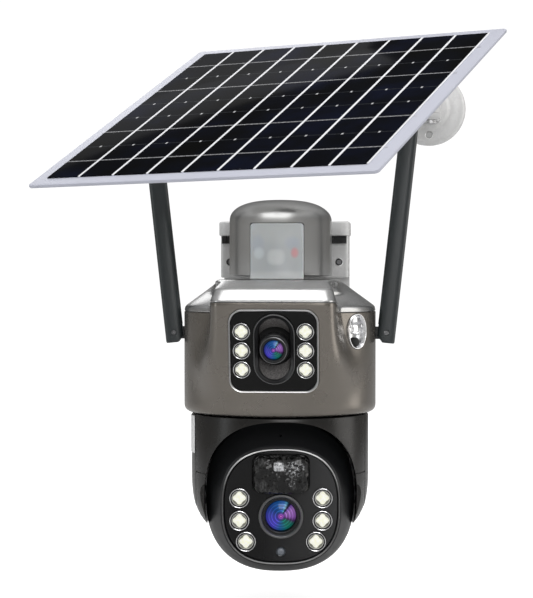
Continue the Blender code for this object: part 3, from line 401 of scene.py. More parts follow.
def fresnel_glass():
    """The motion lens: dark plastic moulded in small facets, with painted highlights: pale sparkles in patches towards
    the upper right.
    """
    finish = Finish("motion_glass", (0.006, 0.006, 0.0065), 0.08, Specular_IOR_Level=0.35)

    def painted_sparkle_patch(centre, half_size, power=2):
        return finish.spot(centre, half_size, [(0.3, 1.0), (1.0, 0.0)], power)

    facets = finish.voronoi(330, "Distance")
    grit = finish.noise(620, 5, roughness=0.7)
    faint = finish.ramp(finish.noise(260, 6, finish.stretched(1.0, 1.0, 0.5), 0.7), [(0.50, 0.004), (0.72, 0.075)])
    # painted highlights: pale grey sparkles, masked by grit, in three patches towards the upper right
    light = 0.0
    for shape, stops in ((painted_sparkle_patch((-0.0015, 0.0285), (0.0036, 0.0030), 6), [(0.40, 0.25), (0.55, 1.0)]),
                         (painted_sparkle_patch((0.0085, 0.0270), (0.0075, 0.0058)), [(0.50, 0.0), (0.64, 1.0)]),
                         (painted_sparkle_patch((0.0065, 0.0205), (0.0040, 0.0070)), [(0.54, 0.0), (0.70, 0.7)])):
        light = finish.math("MAXIMUM", light, finish.math("MULTIPLY", shape, finish.ramp(grit, stops)))
    body = finish.blend(light, faint, (0.62, 0.63, 0.65))
    finish.link(body, "Base Color")
    finish.rough(finish.noise(300, 3), 0.05, 0.18)
    finish.bump(facets, 0.6, 0.0012)
    return finish


MOTION = fresnel_glass()


def shroud_floor():
    """The coarse grey grain of the slopes round the fixed lens."""
    finish = Finish("shroud_floor", (0.03, 0.03, 0.03), 0.75)
    grain = finish.noise(1500, 4, roughness=0.7)
    finish.link(finish.ramp(grain, [(0.35, (0.040, 0.038, 0.038)), (0.68, (0.20, 0.19, 0.187))]), "Base Color")
    finish.rough(grain, 0.6, 0.85)
    finish.bump(grain, 0.5, 0.0003)
    return finish


SHROUD_FLOOR = shroud_floor()


def window_finish():
    """Milky plastic with what stands behind it showing faintly: a detector, a white and a red light."""
    finish = Finish("milky_window", (0.52, 0.53, 0.55), 0.30, Subsurface_Weight=0.08)
    body = finish.vary((0.525, 0.532, 0.545), 90, 0.03)
    for centre, half_size, colour, power in (
            ((0.000, 0.0220), (0.020, 0.012), (0.57, 0.57, 0.57), 2),
            ((-0.0125, 0.0130), (0.0055, 0.0075), (0.49, 0.51, 0.56), 2),
            ((0.0105, 0.0135), (0.0065, 0.0055), (0.50, 0.52, 0.57), 2),
            ((-0.0003, 0.0042), (0.0068, 0.0062), (0.70, 0.70, 0.70), 3),
            ((-0.0118, 0.0068), (0.0046, 0.0050), (0.68, 0.71, 0.73), 2),
            ((0.0120, 0.0070), (0.0032, 0.0044), (0.78, 0.36, 0.38), 2)):
        near = finish.spot(centre, half_size, [(0.0, 0.85), (1.0, 0.0)], power, "EASE")
        body = finish.blend(near, body, colour)
    body = finish.blend(finish.spread(finish.split()[2], -0.0045, -0.0068), body, (0.60, 0.60, 0.60))
    finish.link(body, "Base Color")
    finish.rough(finish.noise(100), 0.24, 0.36)
    finish.bump(finish.noise(300, 2), 0.04)
    return finish


MILKY = window_finish()


def sensor_dome():
    """The small light sensor, with faint rings under its dome."""
    finish = Finish("sensor_dome", (0.13, 0.15, 0.17), 0.2, Coat_Weight=0.5)
    rings = finish.add("ShaderNodeVectorMath", finish.where, operation="LENGTH")
    out = finish.math("DIVIDE", rings.outputs["Value"], 0.0036)
    finish.link(finish.ramp(out, [(0.0, (0.16, 0.18, 0.20)), (0.35, (0.09, 0.10, 0.12)), (0.6, (0.17, 0.19, 0.22)),
                                  (0.9, (0.07, 0.08, 0.09))]), "Base Color")
    finish.rough(finish.noise(200), 0.15, 0.3)
    finish.bump(finish.noise(400, 2), 0.05)
    return finish


DOME = sensor_dome()


def cell_finish():
    """Nearly black cells under glass. Strip gaps and conductors are drawn in the panel's own frame."""
    finish = Finish("solar_cells", (0.006, 0.006, 0.012), 0.35, Specular_IOR_Level=0.0,
                    Coat_Weight=0.05, Coat_Roughness=0.10)
    x, y, _ = finish.split()
    u = finish.math("ADD", finish.math("DIVIDE", x, PANEL_W), 0.5)
    v = finish.math("ADD", finish.math("DIVIDE", y, PANEL_H), 0.5)
    strip = finish.math("SUBTRACT", finish.math("DIVIDE", u, 0.1027), 0.138 / 0.1027)
    phase = finish.math("FRACT", finish.math("ADD", strip, 20.5))                  # 0.5 on a gap
    off_gap = finish.math("ABSOLUTE", finish.math("SUBTRACT", phase, 0.5))
    gap = finish.ramp(off_gap, [(0.030, 1.0), (0.042, 0.0)])
    cloud = finish.noise(26, 3)
    body = finish.ramp(cloud, [(0.35, (0.0022, 0.0022, 0.0022)), (0.52, (0.0028, 0.0032, 0.0052)),
                               (0.72, (0.0040, 0.0052, 0.0130))])
    fingers = finish.ramp(finish.math("FRACT", finish.math("MULTIPLY", v, 150)), [(0.0, 1.35), (0.22, 1.0), (0.9, 0.9)])
    body = finish.blend(1.0, body, fingers, "MULTIPLY")
    wear = finish.ramp(finish.noise(900, 4), [(0.42, 0.45), (0.62, 1.0)])
    middle = finish.ramp(off_gap, [(0.466, 0.0), (0.480, 1.0)])                    # middle of a strip
    for place, solid in ((0.143, True), (0.241, False), (0.345, True), (0.446, False), (0.547, False),
                         (0.650, True), (0.749, False), (0.849, True)):
        away = finish.math("MULTIPLY", finish.math("ABSOLUTE", finish.math("SUBTRACT", v, place)), 100)
        line = finish.ramp(away, [(0.22, 1.0), (0.36, 0.0)] if solid else [(0.16, 1.0), (0.28, 0.0)])
        tone = finish.blend(1.0, wear, (0.30, 0.30, 0.31) if solid else (0.030, 0.032, 0.036), "MULTIPLY")
        body = finish.blend(line, body, tone)
        if not solid:
            dot = finish.math("MULTIPLY", finish.ramp(away, [(0.30, 1.0), (0.62, 0.0)]), middle)
            body = finish.blend(dot, body, (0.45, 0.45, 0.46))
    body = finish.blend(gap, body, (0.72, 0.72, 0.74))
    finish.link(body, "Base Color")
    finish.rough(finish.noise(40, 3), 0.30, 0.45)
    finish.bump(finish.noise(200, 2), 0.03)
    return finish


CELLS = cell_finish()


# ---------------------------------------------------------------- shapes
def lathe(profile, steps=72, axis="Y", centre=(0, 0, 0), closed=False, into=None):
    """A turned shape from (radius, height) points. Along Y, heights run out towards -Y."""
    skin = into or bmesh.new()
    place = {"Y": lambda r, a, h: (r * math.cos(a), -h, r * math.sin(a)),
             "Z": lambda r, a, h: (r * math.cos(a), r * math.sin(a), h),
             "X": lambda r, a, h: (h, r * math.cos(a), r * math.sin(a))}[axis]
    rows = []
    for radius, height in profile:
        count = steps if radius > 1e-7 else 1
        rows.append([skin.verts.new(Vector(place(radius, 2 * math.pi * i / steps, height)) + Vector(centre))
                     for i in range(count)])
    for a, b in list(zip(rows, rows[1:])) + ([(rows[-1], rows[0])] if closed else []):
        for i in range(steps):
            j = (i + 1) % steps
            loop = [a[i % len(a)], a[j % len(a)], b[j % len(b)], b[i % len(b)]]
            loop = [v for n, v in enumerate(loop) if v not in loop[:n]]
            if len(loop) > 2:
                skin.faces.new(loop)
    return skin


def pin(radius, near, far, steps=32, axis="Y", centre=(0, 0, 0)):
    """A plain cylinder between two heights, mostly used to drill a hole."""
    return lathe([(0, near), (radius, near), (radius, far), (0, far)], steps, axis, centre)


def loft(rings, caps=True, loop=False, tip=None, into=None):
    """Joins rings of the same number of points, with ends closed by caps, a loop or a tip."""
    skin = into or bmesh.new()
    rows = [[skin.verts.new(point) for point in ring] for ring in rings]
    for a, b in list(zip(rows, rows[1:])) + ([(rows[-1], rows[0])] if loop else []):
        for i in range(len(a)):
            j = (i + 1) % len(a)
            skin.faces.new((a[i], b[i], b[j], a[j]))
    if tip:
        point = skin.verts.new(tip)
        for i in range(len(rows[-1])):
            skin.faces.new((rows[-1][i], point, rows[-1][(i + 1) % len(rows[-1])]))
    if caps and not loop:
        skin.faces.new(rows[0])
        if not tip:
            skin.faces.new(list(reversed(rows[-1])))
    return skin


def block(low, high, rounding=0.0005, segments=3, into=None):
    """A box between two corners, with rounded edges."""
    skin = bmesh.new()
    low, high = Vector(low), Vector(high)
    bmesh.ops.create_cube(skin, size=1)
    bmesh.ops.scale(skin, vec=high - low, verts=skin.verts)
    bmesh.ops.translate(skin, vec=(low + high) / 2, verts=skin.verts)
    if rounding:
        bmesh.ops.bevel(skin, geom=skin.edges[:], offset=rounding, segments=segments, profile=0.5, affect="EDGES")
    return merged(into, skin)


def merged(into, skin):
    """Adds skin's geometry to into, and returns into."""
    if into is None:
        return skin
    data = bpy.data.meshes.new("join")
    skin.to_mesh(data)
    skin.free()
    into.from_mesh(data)
    bpy.data.meshes.remove(data)
    return into


def moved(skin, matrix):
    bmesh.ops.transform(skin, matrix=matrix, verts=skin.verts)
    return skin


def arc(centre, radius, start, end, count):
    angles = [math.radians(start + (end - start) * i / (count - 1)) for i in range(count)]
    return [(centre[0] + radius * math.cos(a), centre[1] + radius * math.sin(a)) for a in angles]


def rounded(width, height, radius, count=14):
    w, h = width / 2 - radius, height / 2 - radius
    corners = ((w, h, 0), (-w, h, 90), (-w, -h, 180), (w, -h, 270))
    return [p for x, z, start in corners for p in arc((x, z), radius, start, start + 90, count)]


def superellipse(half_w, half_h, power, count=96):
    points = []
    for i in range(count):
        c, s = math.cos(2 * math.pi * i / count), math.sin(2 * math.pi * i / count)
        points.append((math.copysign(abs(c) ** (2 / power), c) * half_w,
                       math.copysign(abs(s) ** (2 / power), s) * half_h))
    return points


def facing(points, out, centre=(0, 0)):
    """Outline points stood up in a frame that looks along -Y."""
    return [(x + centre[0], -out, z + centre[1]) for x, z in points]


def slab(outline, out, back, rounding=0.0004, steps=4, centre=(0, 0), into=None):
    """A plate with rounded front edges. outline(inset) gives its points."""
    rings = [facing(outline(0), back, centre)]
    for k in range(steps + 1):
        a = math.pi / 2 * k / steps
        rings.append(facing(outline(rounding * (1 - math.cos(a))), out - rounding * (1 - math.sin(a)), centre))
    return loft(rings, into=into)


def frame_ring(rows, into=None):
    """A closed ring from (outline points, out) rows."""
    return loft([facing(points, out) for points, out in rows], loop=True, into=into)


def tube(route, radius, steps=24):
    """A smooth round tube along points."""
    rings = []
    side = None
    for i, here in enumerate(route):
        ahead = (route[min(i + 1, len(route) - 1)] - route[max(i - 1, 0)]).normalized()
        side = (side or Vector((0, 0, 1)).cross(ahead)).normalized()
        side = (side - ahead * side.dot(ahead)).normalized()
        over = ahead.cross(side)
        rings.append([here + (side * math.cos(a) + over * math.sin(a)) * radius
                      for a in [2 * math.pi * k / steps for k in range(steps)]])
    return loft(rings)


def stand_in(skin):
    data = bpy.data.meshes.new("cut")
    bmesh.ops.recalc_face_normals(skin, faces=skin.faces)
    skin.to_mesh(data)
    skin.free()
    made = bpy.data.objects.new("cut", data)
    bpy.context.scene.collection.objects.link(made)
    return made


def carve(skin, *cutters, keep=False):
    """Cuts the cutters out of skin, or keeps only what is inside them."""
    target = stand_in(skin)
    tools = [stand_in(cutter) for cutter in cutters]
    for tool in tools:
        change = target.modifiers.new("cut", "BOOLEAN")
        change.operation = "INTERSECT" if keep else "DIFFERENCE"
        change.solver = "EXACT"
        change.object = tool
    bpy.context.view_layer.update()
    data = bpy.data.meshes.new_from_object(target.evaluated_get(bpy.context.evaluated_depsgraph_get()))
    result = bmesh.new()
    result.from_mesh(data)
    bpy.data.meshes.remove(data)
    for old in [target] + tools:
        mesh = old.data
        bpy.data.objects.remove(old)
        bpy.data.meshes.remove(mesh)
    return result


def extruded(outline, out_a, out_b, axis="Y"):
    """A prism: along Y from (x, z) points, or along X from (y, z) points."""
    if axis == "Y":
        return loft([[(x, -out, z) for x, z in outline] for out in (out_a, out_b)])
    return loft([[(out, y, z) for y, z in outline] for out in (out_a, out_b)])


def piece(name, skin, body, finishes, where=WORLD, stands_for=(), sharp=32, edges=0.0):
    """Makes the skin a piece of the object, riding on a CAD body."""
    data = bpy.data.meshes.new(name)
    bmesh.ops.recalc_face_normals(skin, faces=skin.faces)
    skin.to_mesh(data)
    skin.free()
    data.shade_smooth()
    data.set_sharp_from_angle(angle=math.radians(sharp))
    made = bpy.data.objects.new(name, data)
    bpy.context.scene.collection.objects.link(made)
    made.matrix_world = where
    for finish in finishes if isinstance(finishes, (list, tuple)) else [finishes]:
        data.materials.append(finish.material)
    if edges:
        soften(made, edges)
    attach(made, body)
    if stands_for:
        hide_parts(*([stands_for] if isinstance(stands_for, str) else stands_for))
    return made


def soften(obj, width, segments=2):
    rounding = obj.modifiers.new("edges", "BEVEL")
    rounding.width = width
    rounding.segments = segments
    rounding.limit_method = "ANGLE"
    rounding.angle_limit = math.radians(40)
    rounding.harden_normals = False
    return obj


def paint_faces(skin, start, index):
    """Gives the faces made since start the material slot index."""
    skin.faces.ensure_lookup_table()
    for face in skin.faces[start:]:
        face.material_index = index


def smoothstep(low, high, value):
    t = min(1.0, max(0.0, (value - low) / (high - low)))
    return t * t * (3 - 2 * t)


def mix(a, b, share):
    return a + (b - a) * share


def rounded_path(points, reach, steps=4):
    """A polyline with each inner corner rounded, always to the same number of points."""
    points = [Vector(p) for p in points]
    path = [points[0]]
    for before, here, after, size in zip(points, points[1:], points[2:], reach):
        a = before - here
        b = after - here
        start = here + a.normalized() * min(size, a.length * 0.48)
        end = here + b.normalized() * min(size, b.length * 0.48)
        for k in range(steps + 1):
            t = k / steps
            path.append(start * (1 - t) ** 2 + here * 2 * t * (1 - t) + end * t ** 2)
    path.append(points[-1])
    return path


# ---------------------------------------------------------------- outlines of the upper housing
COUNT = 240
ANGLES = [2 * math.pi * i / COUNT for i in range(COUNT)]
PARTING_SIDE, PARTING_FRONT, ROOF_TOP = -0.0324, -0.0254, -0.0108
HOUSING_BOTTOM = -0.1000


def squared_radius(angle, half_width, reach, power):
    across, ahead = abs(math.sin(angle)) / half_width, abs(math.cos(angle)) / reach
    return (across ** power + ahead ** power) ** (-1 / power)


def housing_radius(angle, z, inset=0.0):
    """The drum and its front box, as in the CAD."""
    drum = DRUM_R
    off_front = abs(math.atan2(math.sin(angle), math.cos(angle)))
    reach = 0.0719 + (z + 0.0566) * math.tan(math.radians(9.5))
    corner = mix(0.0415, 0.0350, smoothstep(-0.058, -0.088, z))
    span = math.hypot(corner, reach)
    tangent = math.atan2(corner, reach) + math.acos(min(1.0, DRUM_R / span))
    edge = mix(math.radians(89), tangent, smoothstep(-0.030, -0.076, z))
    if off_front < edge:
        side = corner * math.sin(edge) + reach * math.cos(edge)
        across = max(0.0, math.cos(off_front - edge)) / side
        ahead = math.cos(off_front) / reach
        front = (across ** 11 + ahead ** 11) ** (-1 / 11)
        share = smoothstep(edge, edge - 0.35, off_front)
        boxed = (drum ** 40 + share * front ** 40) ** (1 / 40)
        drum = mix(boxed, drum, smoothstep(-0.080, -0.0985, z))
    return drum - inset


def frontness(angle):
    off_front = abs(math.atan2(math.sin(angle), math.cos(angle)))
    return 1 - smoothstep(math.radians(31), math.radians(40), off_front)


def ring(radius_at, height_at):
    return [(radius_at(a) * math.sin(a), -radius_at(a) * math.cos(a), height_at(a)) for a in ANGLES]


def parting(angle):
    return mix(PARTING_SIDE, PARTING_FRONT, frontness(angle))


# ---------------------------------------------------------------- upper housing
def housing():
    def skin(inset):
        rows = [ring(lambda a: housing_radius(a, PARTING_FRONT, inset + 0.0004), parting),
                ring(lambda a: housing_radius(a, PARTING_FRONT, inset + 0.0001), lambda a: parting(a) - 0.0002),
                ring(lambda a: housing_radius(a, PARTING_FRONT, inset), lambda a: parting(a) - 0.0005)]
        for k in range(1, 25):
            z = mix(PARTING_FRONT, -0.0955, k / 24)
            rows.append(ring(lambda a, z=z: housing_radius(a, min(PARTING_FRONT, z), inset),
                             lambda a, z=z, k=k: min(z, parting(a) - 0.0006 - 0.0002 * k)))
        return rows

    rim = [ring(lambda a, t=t: DRUM_R - 0.0045 * (1 - math.cos(math.radians(t))),
                lambda a, t=t: -0.0955 - 0.0045 * math.sin(math.radians(t))) for t in (18, 36, 54, 72, 90)]
    rim.append(ring(lambda a: DRUM_R - 0.0062, lambda a: HOUSING_BOTTOM))
    shell = moved(loft(skin(0) + rim + skin(0.0025)[::-1], loop=True), CAM_AXIS)
    window = moved(extruded(rounded(0.0588, 0.0553, 0.0092), -0.03, 0.03), FASCIA)
    port = moved(extruded(superellipse(0.0098, 0.0119, 2.2, 64), -0.015, 0.015), PORT)
    hubs = [pin(0.0051, -0.01, 0.01, 40, "X", (side * DRUM_R, -AXIS_OUT, HUB_HEIGHT)) for side in (-1, 1)]
    shell = carve(shell, window, port, *hubs)
    piece("housing_shell", shell, "wall_set", GUNMETAL, stands_for="upper_housing", sharp=40)


def roof():
    def skirt_height(a):
        return mix(-0.0289, -0.0238, frontness(a))

    def shoulder(a):
        boxy = squared_radius(a, 0.0412, 0.0690, 9)
        return mix(0.0530, max(0.0530, boxy), frontness(a))

    def plateau(a):
        return squared_radius(a, 0.0395, 0.0570 if math.cos(a) > 0 else 0.0400, 6)

    def section(a, inward, down):
        edge = housing_radius(a, PARTING_FRONT, 0.0002 + inward)
        points = [(edge - 0.0003, parting(a) + 0.0003), (edge, parting(a) + 0.0006),
                  (edge - 0.0003, skirt_height(a) - 0.6 * down),
                  (shoulder(a) - inward, mix(-0.0205, -0.0165, frontness(a)) - 0.8 * down),
                  (plateau(a) + 0.0020 - 0.6 * inward, mix(-0.0122, -0.0116, frontness(a)) - down),
                  (plateau(a) - 0.6 * inward, ROOF_TOP - down), (0.0115, ROOF_TOP - down)]
        return rounded_path(points, (0.0003, 0.0016, 0.0022, 0.0010, 0.0012))

    def skin(inward, down):
        sections = [section(a, inward, down) for a in ANGLES]
        return [[(s[k][0] * math.sin(a), -s[k][0] * math.cos(a), s[k][1]) for a, s in zip(ANGLES, sections)]
                for k in range(len(sections[0]))]

    lid = loft(skin(0, 0) + skin(0.0025, 0.0025)[::-1], loop=True)
    piece("roof_shell", lid, "wall_set", SILVER, CAM_AXIS, "roof_cover", 40)


def cap_radius(angle, scale=1.0, inset=0.0):
    if math.cos(angle) >= 0:
        return (0.0343 - inset) * scale
    return (squared_radius(angle, 0.0343, AXIS_OUT - 0.0364, 9) - inset) * scale


def cap():
    def skin(inset, top):
        rows = [ring(lambda a: cap_radius(a, 1, inset + 0.0005), lambda a: -0.0082),
                ring(lambda a: cap_radius(a, 1, inset + 0.0001), lambda a: -0.0079),
                ring(lambda a: cap_radius(a, 1, inset), lambda a: -0.0074),
                ring(lambda a: cap_radius(a, 1, inset), lambda a: 0.0100),
                ring(lambda a: cap_radius(a, 1, inset), lambda a: 0.0240)]
        for degrees in range(0, 88, 5):
            scale = math.cos(math.radians(degrees))
            height = mix(0.0280, top, (1 - scale ** 2.5) ** (1 / 2.5))
            rows.append(ring(lambda a, s=scale: cap_radius(a, s, inset), lambda a, h=height: h))
        return rows

    outer, inner = skin(0, 0.0431), skin(0.0025, 0.0406)
    dome = loft(outer, caps=False, tip=(0, 0, 0.0431))
    loft(inner, caps=False, tip=(0, 0, 0.0406), into=dome)
    loft([outer[0], inner[0]], caps=False, into=dome)
    bmesh.ops.remove_doubles(dome, verts=dome.verts, dist=1e-6)
    moved(dome, CAM_AXIS)
    way = loft([[(x, y, z) for x, z in rounded(0.0362, 0.0400, 0.0018, 8)] for y in (-0.12, -0.09)])
    moved(way, at(0, 0, 0.0070))
    dome = carve(dome, way, block((-0.0128, -0.0450, -0.010), (0.0128, -0.0300, 0.0108), 0))
    piece("cap_shell", dome, "wall_set", CAP_SILVER, stands_for="sensor_cap", sharp=40)


def milky_window():
    """The window's skin over the cap's front, flared at its foot, with rounded corners at the top."""
    outer = [(0.0345, 0.0266), (0.0351, 0.0264), (0.0354, 0.0259), (0.0354, 0.0100), (0.0354, -0.0040),
             (0.0356, -0.0068), (0.0360, -0.0090), (0.0364, -0.0100), (0.0362, -0.0104)]
    section = outer + [(0.0339, -0.0104), (0.0331, -0.0060), (0.0331, 0.0266)]
    rows = []
    for k in range(61):
        t = -1 + 2 * k / 60
        row = []
        for radius, height in section:
            x = 0.0178 * t
            drop = 0.0016 * max(0.0, (abs(t) - 0.90) / 0.10) ** 2 if height > 0.02 else 0.0
            pull = 0.0004 * max(0.0, (abs(t) - 0.97) / 0.03) ** 2 if radius > 0.0345 else 0.0
            row.append((x, -math.sqrt((radius - pull) ** 2 - x * x), height - drop))
        rows.append(row)
    piece("milky_window", loft(rows), "wall_set", MILKY, CAM_AXIS, "sensor_window", 40)


# ---------------------------------------------------------------- wall bracket
def cross_screw(radius, depth, into=None):
    """A dark pan head with a cross recess, looking along -Y."""
    head = lathe([(0, 0.0), (radius * 0.7, 0.0), (radius, -depth * 0.4), (radius, -depth), (0, -depth)], 32)
    arms = [block((-radius * 0.62, -0.002, -radius * 0.14), (radius * 0.62, depth * 0.55, radius * 0.14), 0),
            block((-radius * 0.14, -0.002, -radius * 0.62), (radius * 0.14, depth * 0.55, radius * 0.62), 0)]
    return merged(into, carve(head, *arms))


def bracket():
    def plan(width, back, front, radius, count=10):
        w = width / 2 - radius
        f = front + radius
        corners = arc((-w, f), radius, 180, 270, count) + arc((w, f), radius, 270, 360, count)
        return [(-width / 2, back)] + corners + [(width / 2, back)]

    ears = loft([[(x, y, z) for x, y in plan(0.0920 - 2 * i, -0.0043, -0.0360 + i, 0.0065 - i)]
                 for z, i in ((0.0195, 0.0007), (0.0197, 0.0002), (0.0203, 0), (0.0282, 0), (0.0291, 0.0004),
                              (0.0296, 0.0014))])
    body = loft([[(x, y, z) for x, y in plan(0.0900 - 2 * i, -0.0043, -0.0300 + i, 0.0024 - i)]
                 for z, i in ((-0.0100, 0.0008), (-0.0097, 0.0002), (-0.0090, 0), (0.0200, 0))])
    holes = [pin(0.0027, -0.01, 0.05, centre=(side * BRACKET_SCREW_X, 0, 0.001)) for side in (-1, 1)]
    body, ears = [carve(shape, block((-0.0415, -0.0265, -0.0065), (0.0415, 0.01, 0.0265), 0), *cuts)
                  for shape, cuts in ((body, holes), (ears, []))]
    piece("bracket_shell", merged(body, ears), "wall_set", WHITE, stands_for="bracket_body", sharp=40)
    screws = bmesh.new()
    for side in (-1, 1):
        merged(screws, moved(cross_screw(0.0024, 0.0016), at(side * BRACKET_SCREW_X, -0.0278, 0.001)))
    piece("bracket_screws", screws, "wall_set", DARK_METAL)
    soften(NODES["back_plate"], 0.0006, 3)
    soften(NODES["latch_bar"], 0.0003, 2)


# ---------------------------------------------------------------- lamps
def star(radius, depth=0.12, count=64):
    """A rounded four-pointed outline, like a lamp's chip seen through its lens."""
    return [(radius * (1 - depth + depth * math.cos(4 * a)) * math.cos(a),
             radius * (1 - depth + depth * math.cos(4 * a)) * math.sin(a))
            for a in [2 * math.pi * k / count for k in range(count)]]


def lamp_row(name, places, radius, board_y, strip, where, body, node, chip_share=0.66):
    """Three lamps: bright rim, dark groove, polished bowl and a glowing chip."""
    skin = block((strip[0], board_y, strip[1]), (strip[2], board_y + 0.0014, strip[3]), 0.0002, 1)
    base = -(board_y - 0.0034)
    for x, z in places:
        front = base + 0.0036

        def band(profile, index):
            start = len(skin.faces)
            lathe([(radius * share, height) for share, height in profile], 56, centre=(x, 0, z), into=skin)
            paint_faces(skin, start, index)

        band([(1.0, base - 0.0038), (1.0, front - 0.0004), (0.985, front - 0.0001), (0.95, front),
              (0.915, front - 0.0001), (0.90, front - 0.0005)], 0)
        band([(0.90, front - 0.0005), (0.885, front - 0.0012), (0.80, front - 0.0012), (0.79, front - 0.0008)], 2)
        band([(0.79, front - 0.0008), (0.77, front - 0.0005), (0.73, front - 0.0005), (0.71, front - 0.0008)], 4)
        band([(0.71, front - 0.0008), (0.66, front - 0.0014), (0.50, front - 0.0021), (0, front - 0.0024)], 1)
        start = len(skin.faces)
        chip = star(radius * chip_share)
        loft([facing(chip, front - 0.0024, (x, z)), facing(chip, front - 0.0012, (x, z)),
              facing([(a * 0.9, b * 0.9) for a, b in chip], front - 0.0008, (x, z)),
              facing([(a * 0.5, b * 0.5) for a, b in chip], front - 0.0005, (x, z))], into=skin)
        paint_faces(skin, start, 3)
    piece(name, skin, body, [CHROME, REFLECTOR, SEAM, CHIP, GREY_RING], where, node)


# ---------------------------------------------------------------- front window and fixed lens
def front_face():
    def edge(i):
        return rounded(0.0582 - 2 * i, 0.0547 - 2 * i, 0.0089 - i)

    rows = [(edge(0), -0.0050), (edge(0), 0.0006), (edge(0.0001), 0.0009), (edge(0.0004), 0.0011),
            (edge(0.0008), 0.0010), (rounded(0.0558, 0.0523, 0.0078), 0.0006),
            (rounded(0.0558, 0.0523, 0.0078), -0.0050)]
    piece("window_frame", frame_ring(rows), "wall_set", TRIM_PAINTED_HIGHLIGHT, FASCIA, "window_bezel", 45)

    pane = slab(lambda i: rounded(0.0552 - 2 * i, 0.0517 - 2 * i, 0.0075 - i), 0.0004, -0.0016, 0.0003)
    shroud_way = [(x * 1.02 + 0.0005, z * 1.012 + 0.0016) for x, z in rounded(0.0270, 0.0462, 0.01349, 20)]
    ways = [extruded(shroud_way, -0.01, 0.01)]
    for side in (-1, 1):
        ways += [pin(0.00585, -0.01, 0.01, 48, centre=(side * WINDOW_LAMP_X, 0, z)) for z in WINDOW_LAMPS_Z]
    piece("smoked_window", carve(pane, *ways), "wall_set", WINDOW, FASCIA, "front_window", 40)

    def oval(width, height):
        return rounded(width, height, width / 2 - 1e-5, 22)

    rim = [(oval(0.0270, 0.0462), -0.0120), (oval(0.0270, 0.0462), 0.0016), (oval(0.0268, 0.0460), 0.0022),
           (oval(0.0262, 0.0454), 0.0027), (oval(0.0254, 0.0446), 0.0027), (oval(0.0246, 0.0438), 0.0022),
           (oval(0.0226, 0.0420), 0.0014), (oval(0.0212, 0.0409), 0.0011), (oval(0.0207, 0.0405), 0.0007),
           (oval(0.0206, 0.0404), 0.0000), (oval(0.0200, 0.0398), -0.0120)]
    shroud = frame_ring(rim)
    shroud.faces.ensure_lookup_table()
    sides = len(oval(0.01, 0.02))
    # the raised bead takes the lighter rim grey, a painted highlight line
    for face in shroud.faces[2 * sides:4 * sides]:
        face.material_index = 3
    start = len(shroud.faces)
    lip = oval(0.0204, 0.0402)
    for way, end in ((-1, -0.0100), (1, 0.0100)):         # slopes below and above the lens, back to a round hole
        slope = []
        for k in range(13):
            t = k / 12
            row = []
            for j in range(25):
                x = 0.0101 * (-1 + 2 * j / 24)
                outer = end + way * math.sqrt(max(0.0, 0.0101 ** 2 - x * x))
                inner = 0.0007 + way * math.sqrt(0.0126 ** 2 - x * x)
                row.append(shroud.verts.new((x, -mix(0.0002, -0.0062, t), mix(outer, inner, t))))
            slope.append(row)
        for a, b in zip(slope, slope[1:]):
            for j in range(24):
                shroud.faces.new((a[j], a[j + 1], b[j + 1], b[j]))
    paint_faces(shroud, start, 1)
    start = len(shroud.faces)
    loft([facing(lip, -0.0112), facing(lip, -0.0118)], into=shroud)
    paint_faces(shroud, start, 2)
    piece("lens_shroud_shell", shroud, "wall_set", [SHROUD, SHROUD_FLOOR, SEAM, RIM_PAINTED_HIGHLIGHT],
          FASCIA @ at(0.0005, 0, 0.0016), "lens_shroud", 50)
    for side, name in ((-1, "left"), (1, "right")):
        places = [(side * WINDOW_LAMP_X, z) for z in WINDOW_LAMPS_Z]
        a, b = sorted((side * 0.0150, side * 0.0262))
        lamp_row(f"window_lamps_{name}", places, 0.0056, 0.0046, (a, -0.0175, b, 0.0190), FASCIA, "wall_set",
                 f"upper_lamps_{name}", 0.75)


def fixed_lens():
    ball = lathe([(0, 0.0052), (0.0062, 0.0052), (0.0078, 0.0054), (0.0086, 0.0050), (0.0096, 0.0036),
                  (0.0100, 0.0018), (0.0101, 0.0), (0.0097, -0.0028), (0.0085, -0.0054), (0, -0.0054)], 80)
    piece("fixed_lens_ball", ball, "fixed_lens", SHROUD, LENS, "fixed_lens_holder", 40)
    barrel = lathe([(0, 0.0040), (0.0060, 0.0046), (0.0064, 0.0074), (0.0066, 0.0090), (0.0070, 0.0094),
                    (0.0076, 0.0094), (0.0077, 0.0090), (0.0081, 0.0090), (0.0082, 0.0094), (0.0087, 0.0092),
                    (0.0088, 0.0086), (0.0088, 0.0058), (0.0069, 0.0055), (0.0069, -0.0026), (0, -0.0026)], 80)
    barrel.faces.ensure_lookup_table()
    for face in barrel.faces[8 * 80:10 * 80]:
        face.material_index = 1
    piece("fixed_lens_ring", barrel, "fixed_lens", [BLACK, DARK_METAL], LENS, "fixed_lens_barrel", 40)
    glass = lathe([(0, 0.0090), (0.0012, 0.00897), (0.0024, 0.00885), (0.0036, 0.0086), (0.0050, 0.0080),
                   (0.00635, 0.0073), (0.0060, 0.0052), (0, 0.0052)], 64)
    piece("fixed_lens_front", glass, "fixed_lens", FIXED_GLASS, LENS, "fixed_lens_glass", 40)


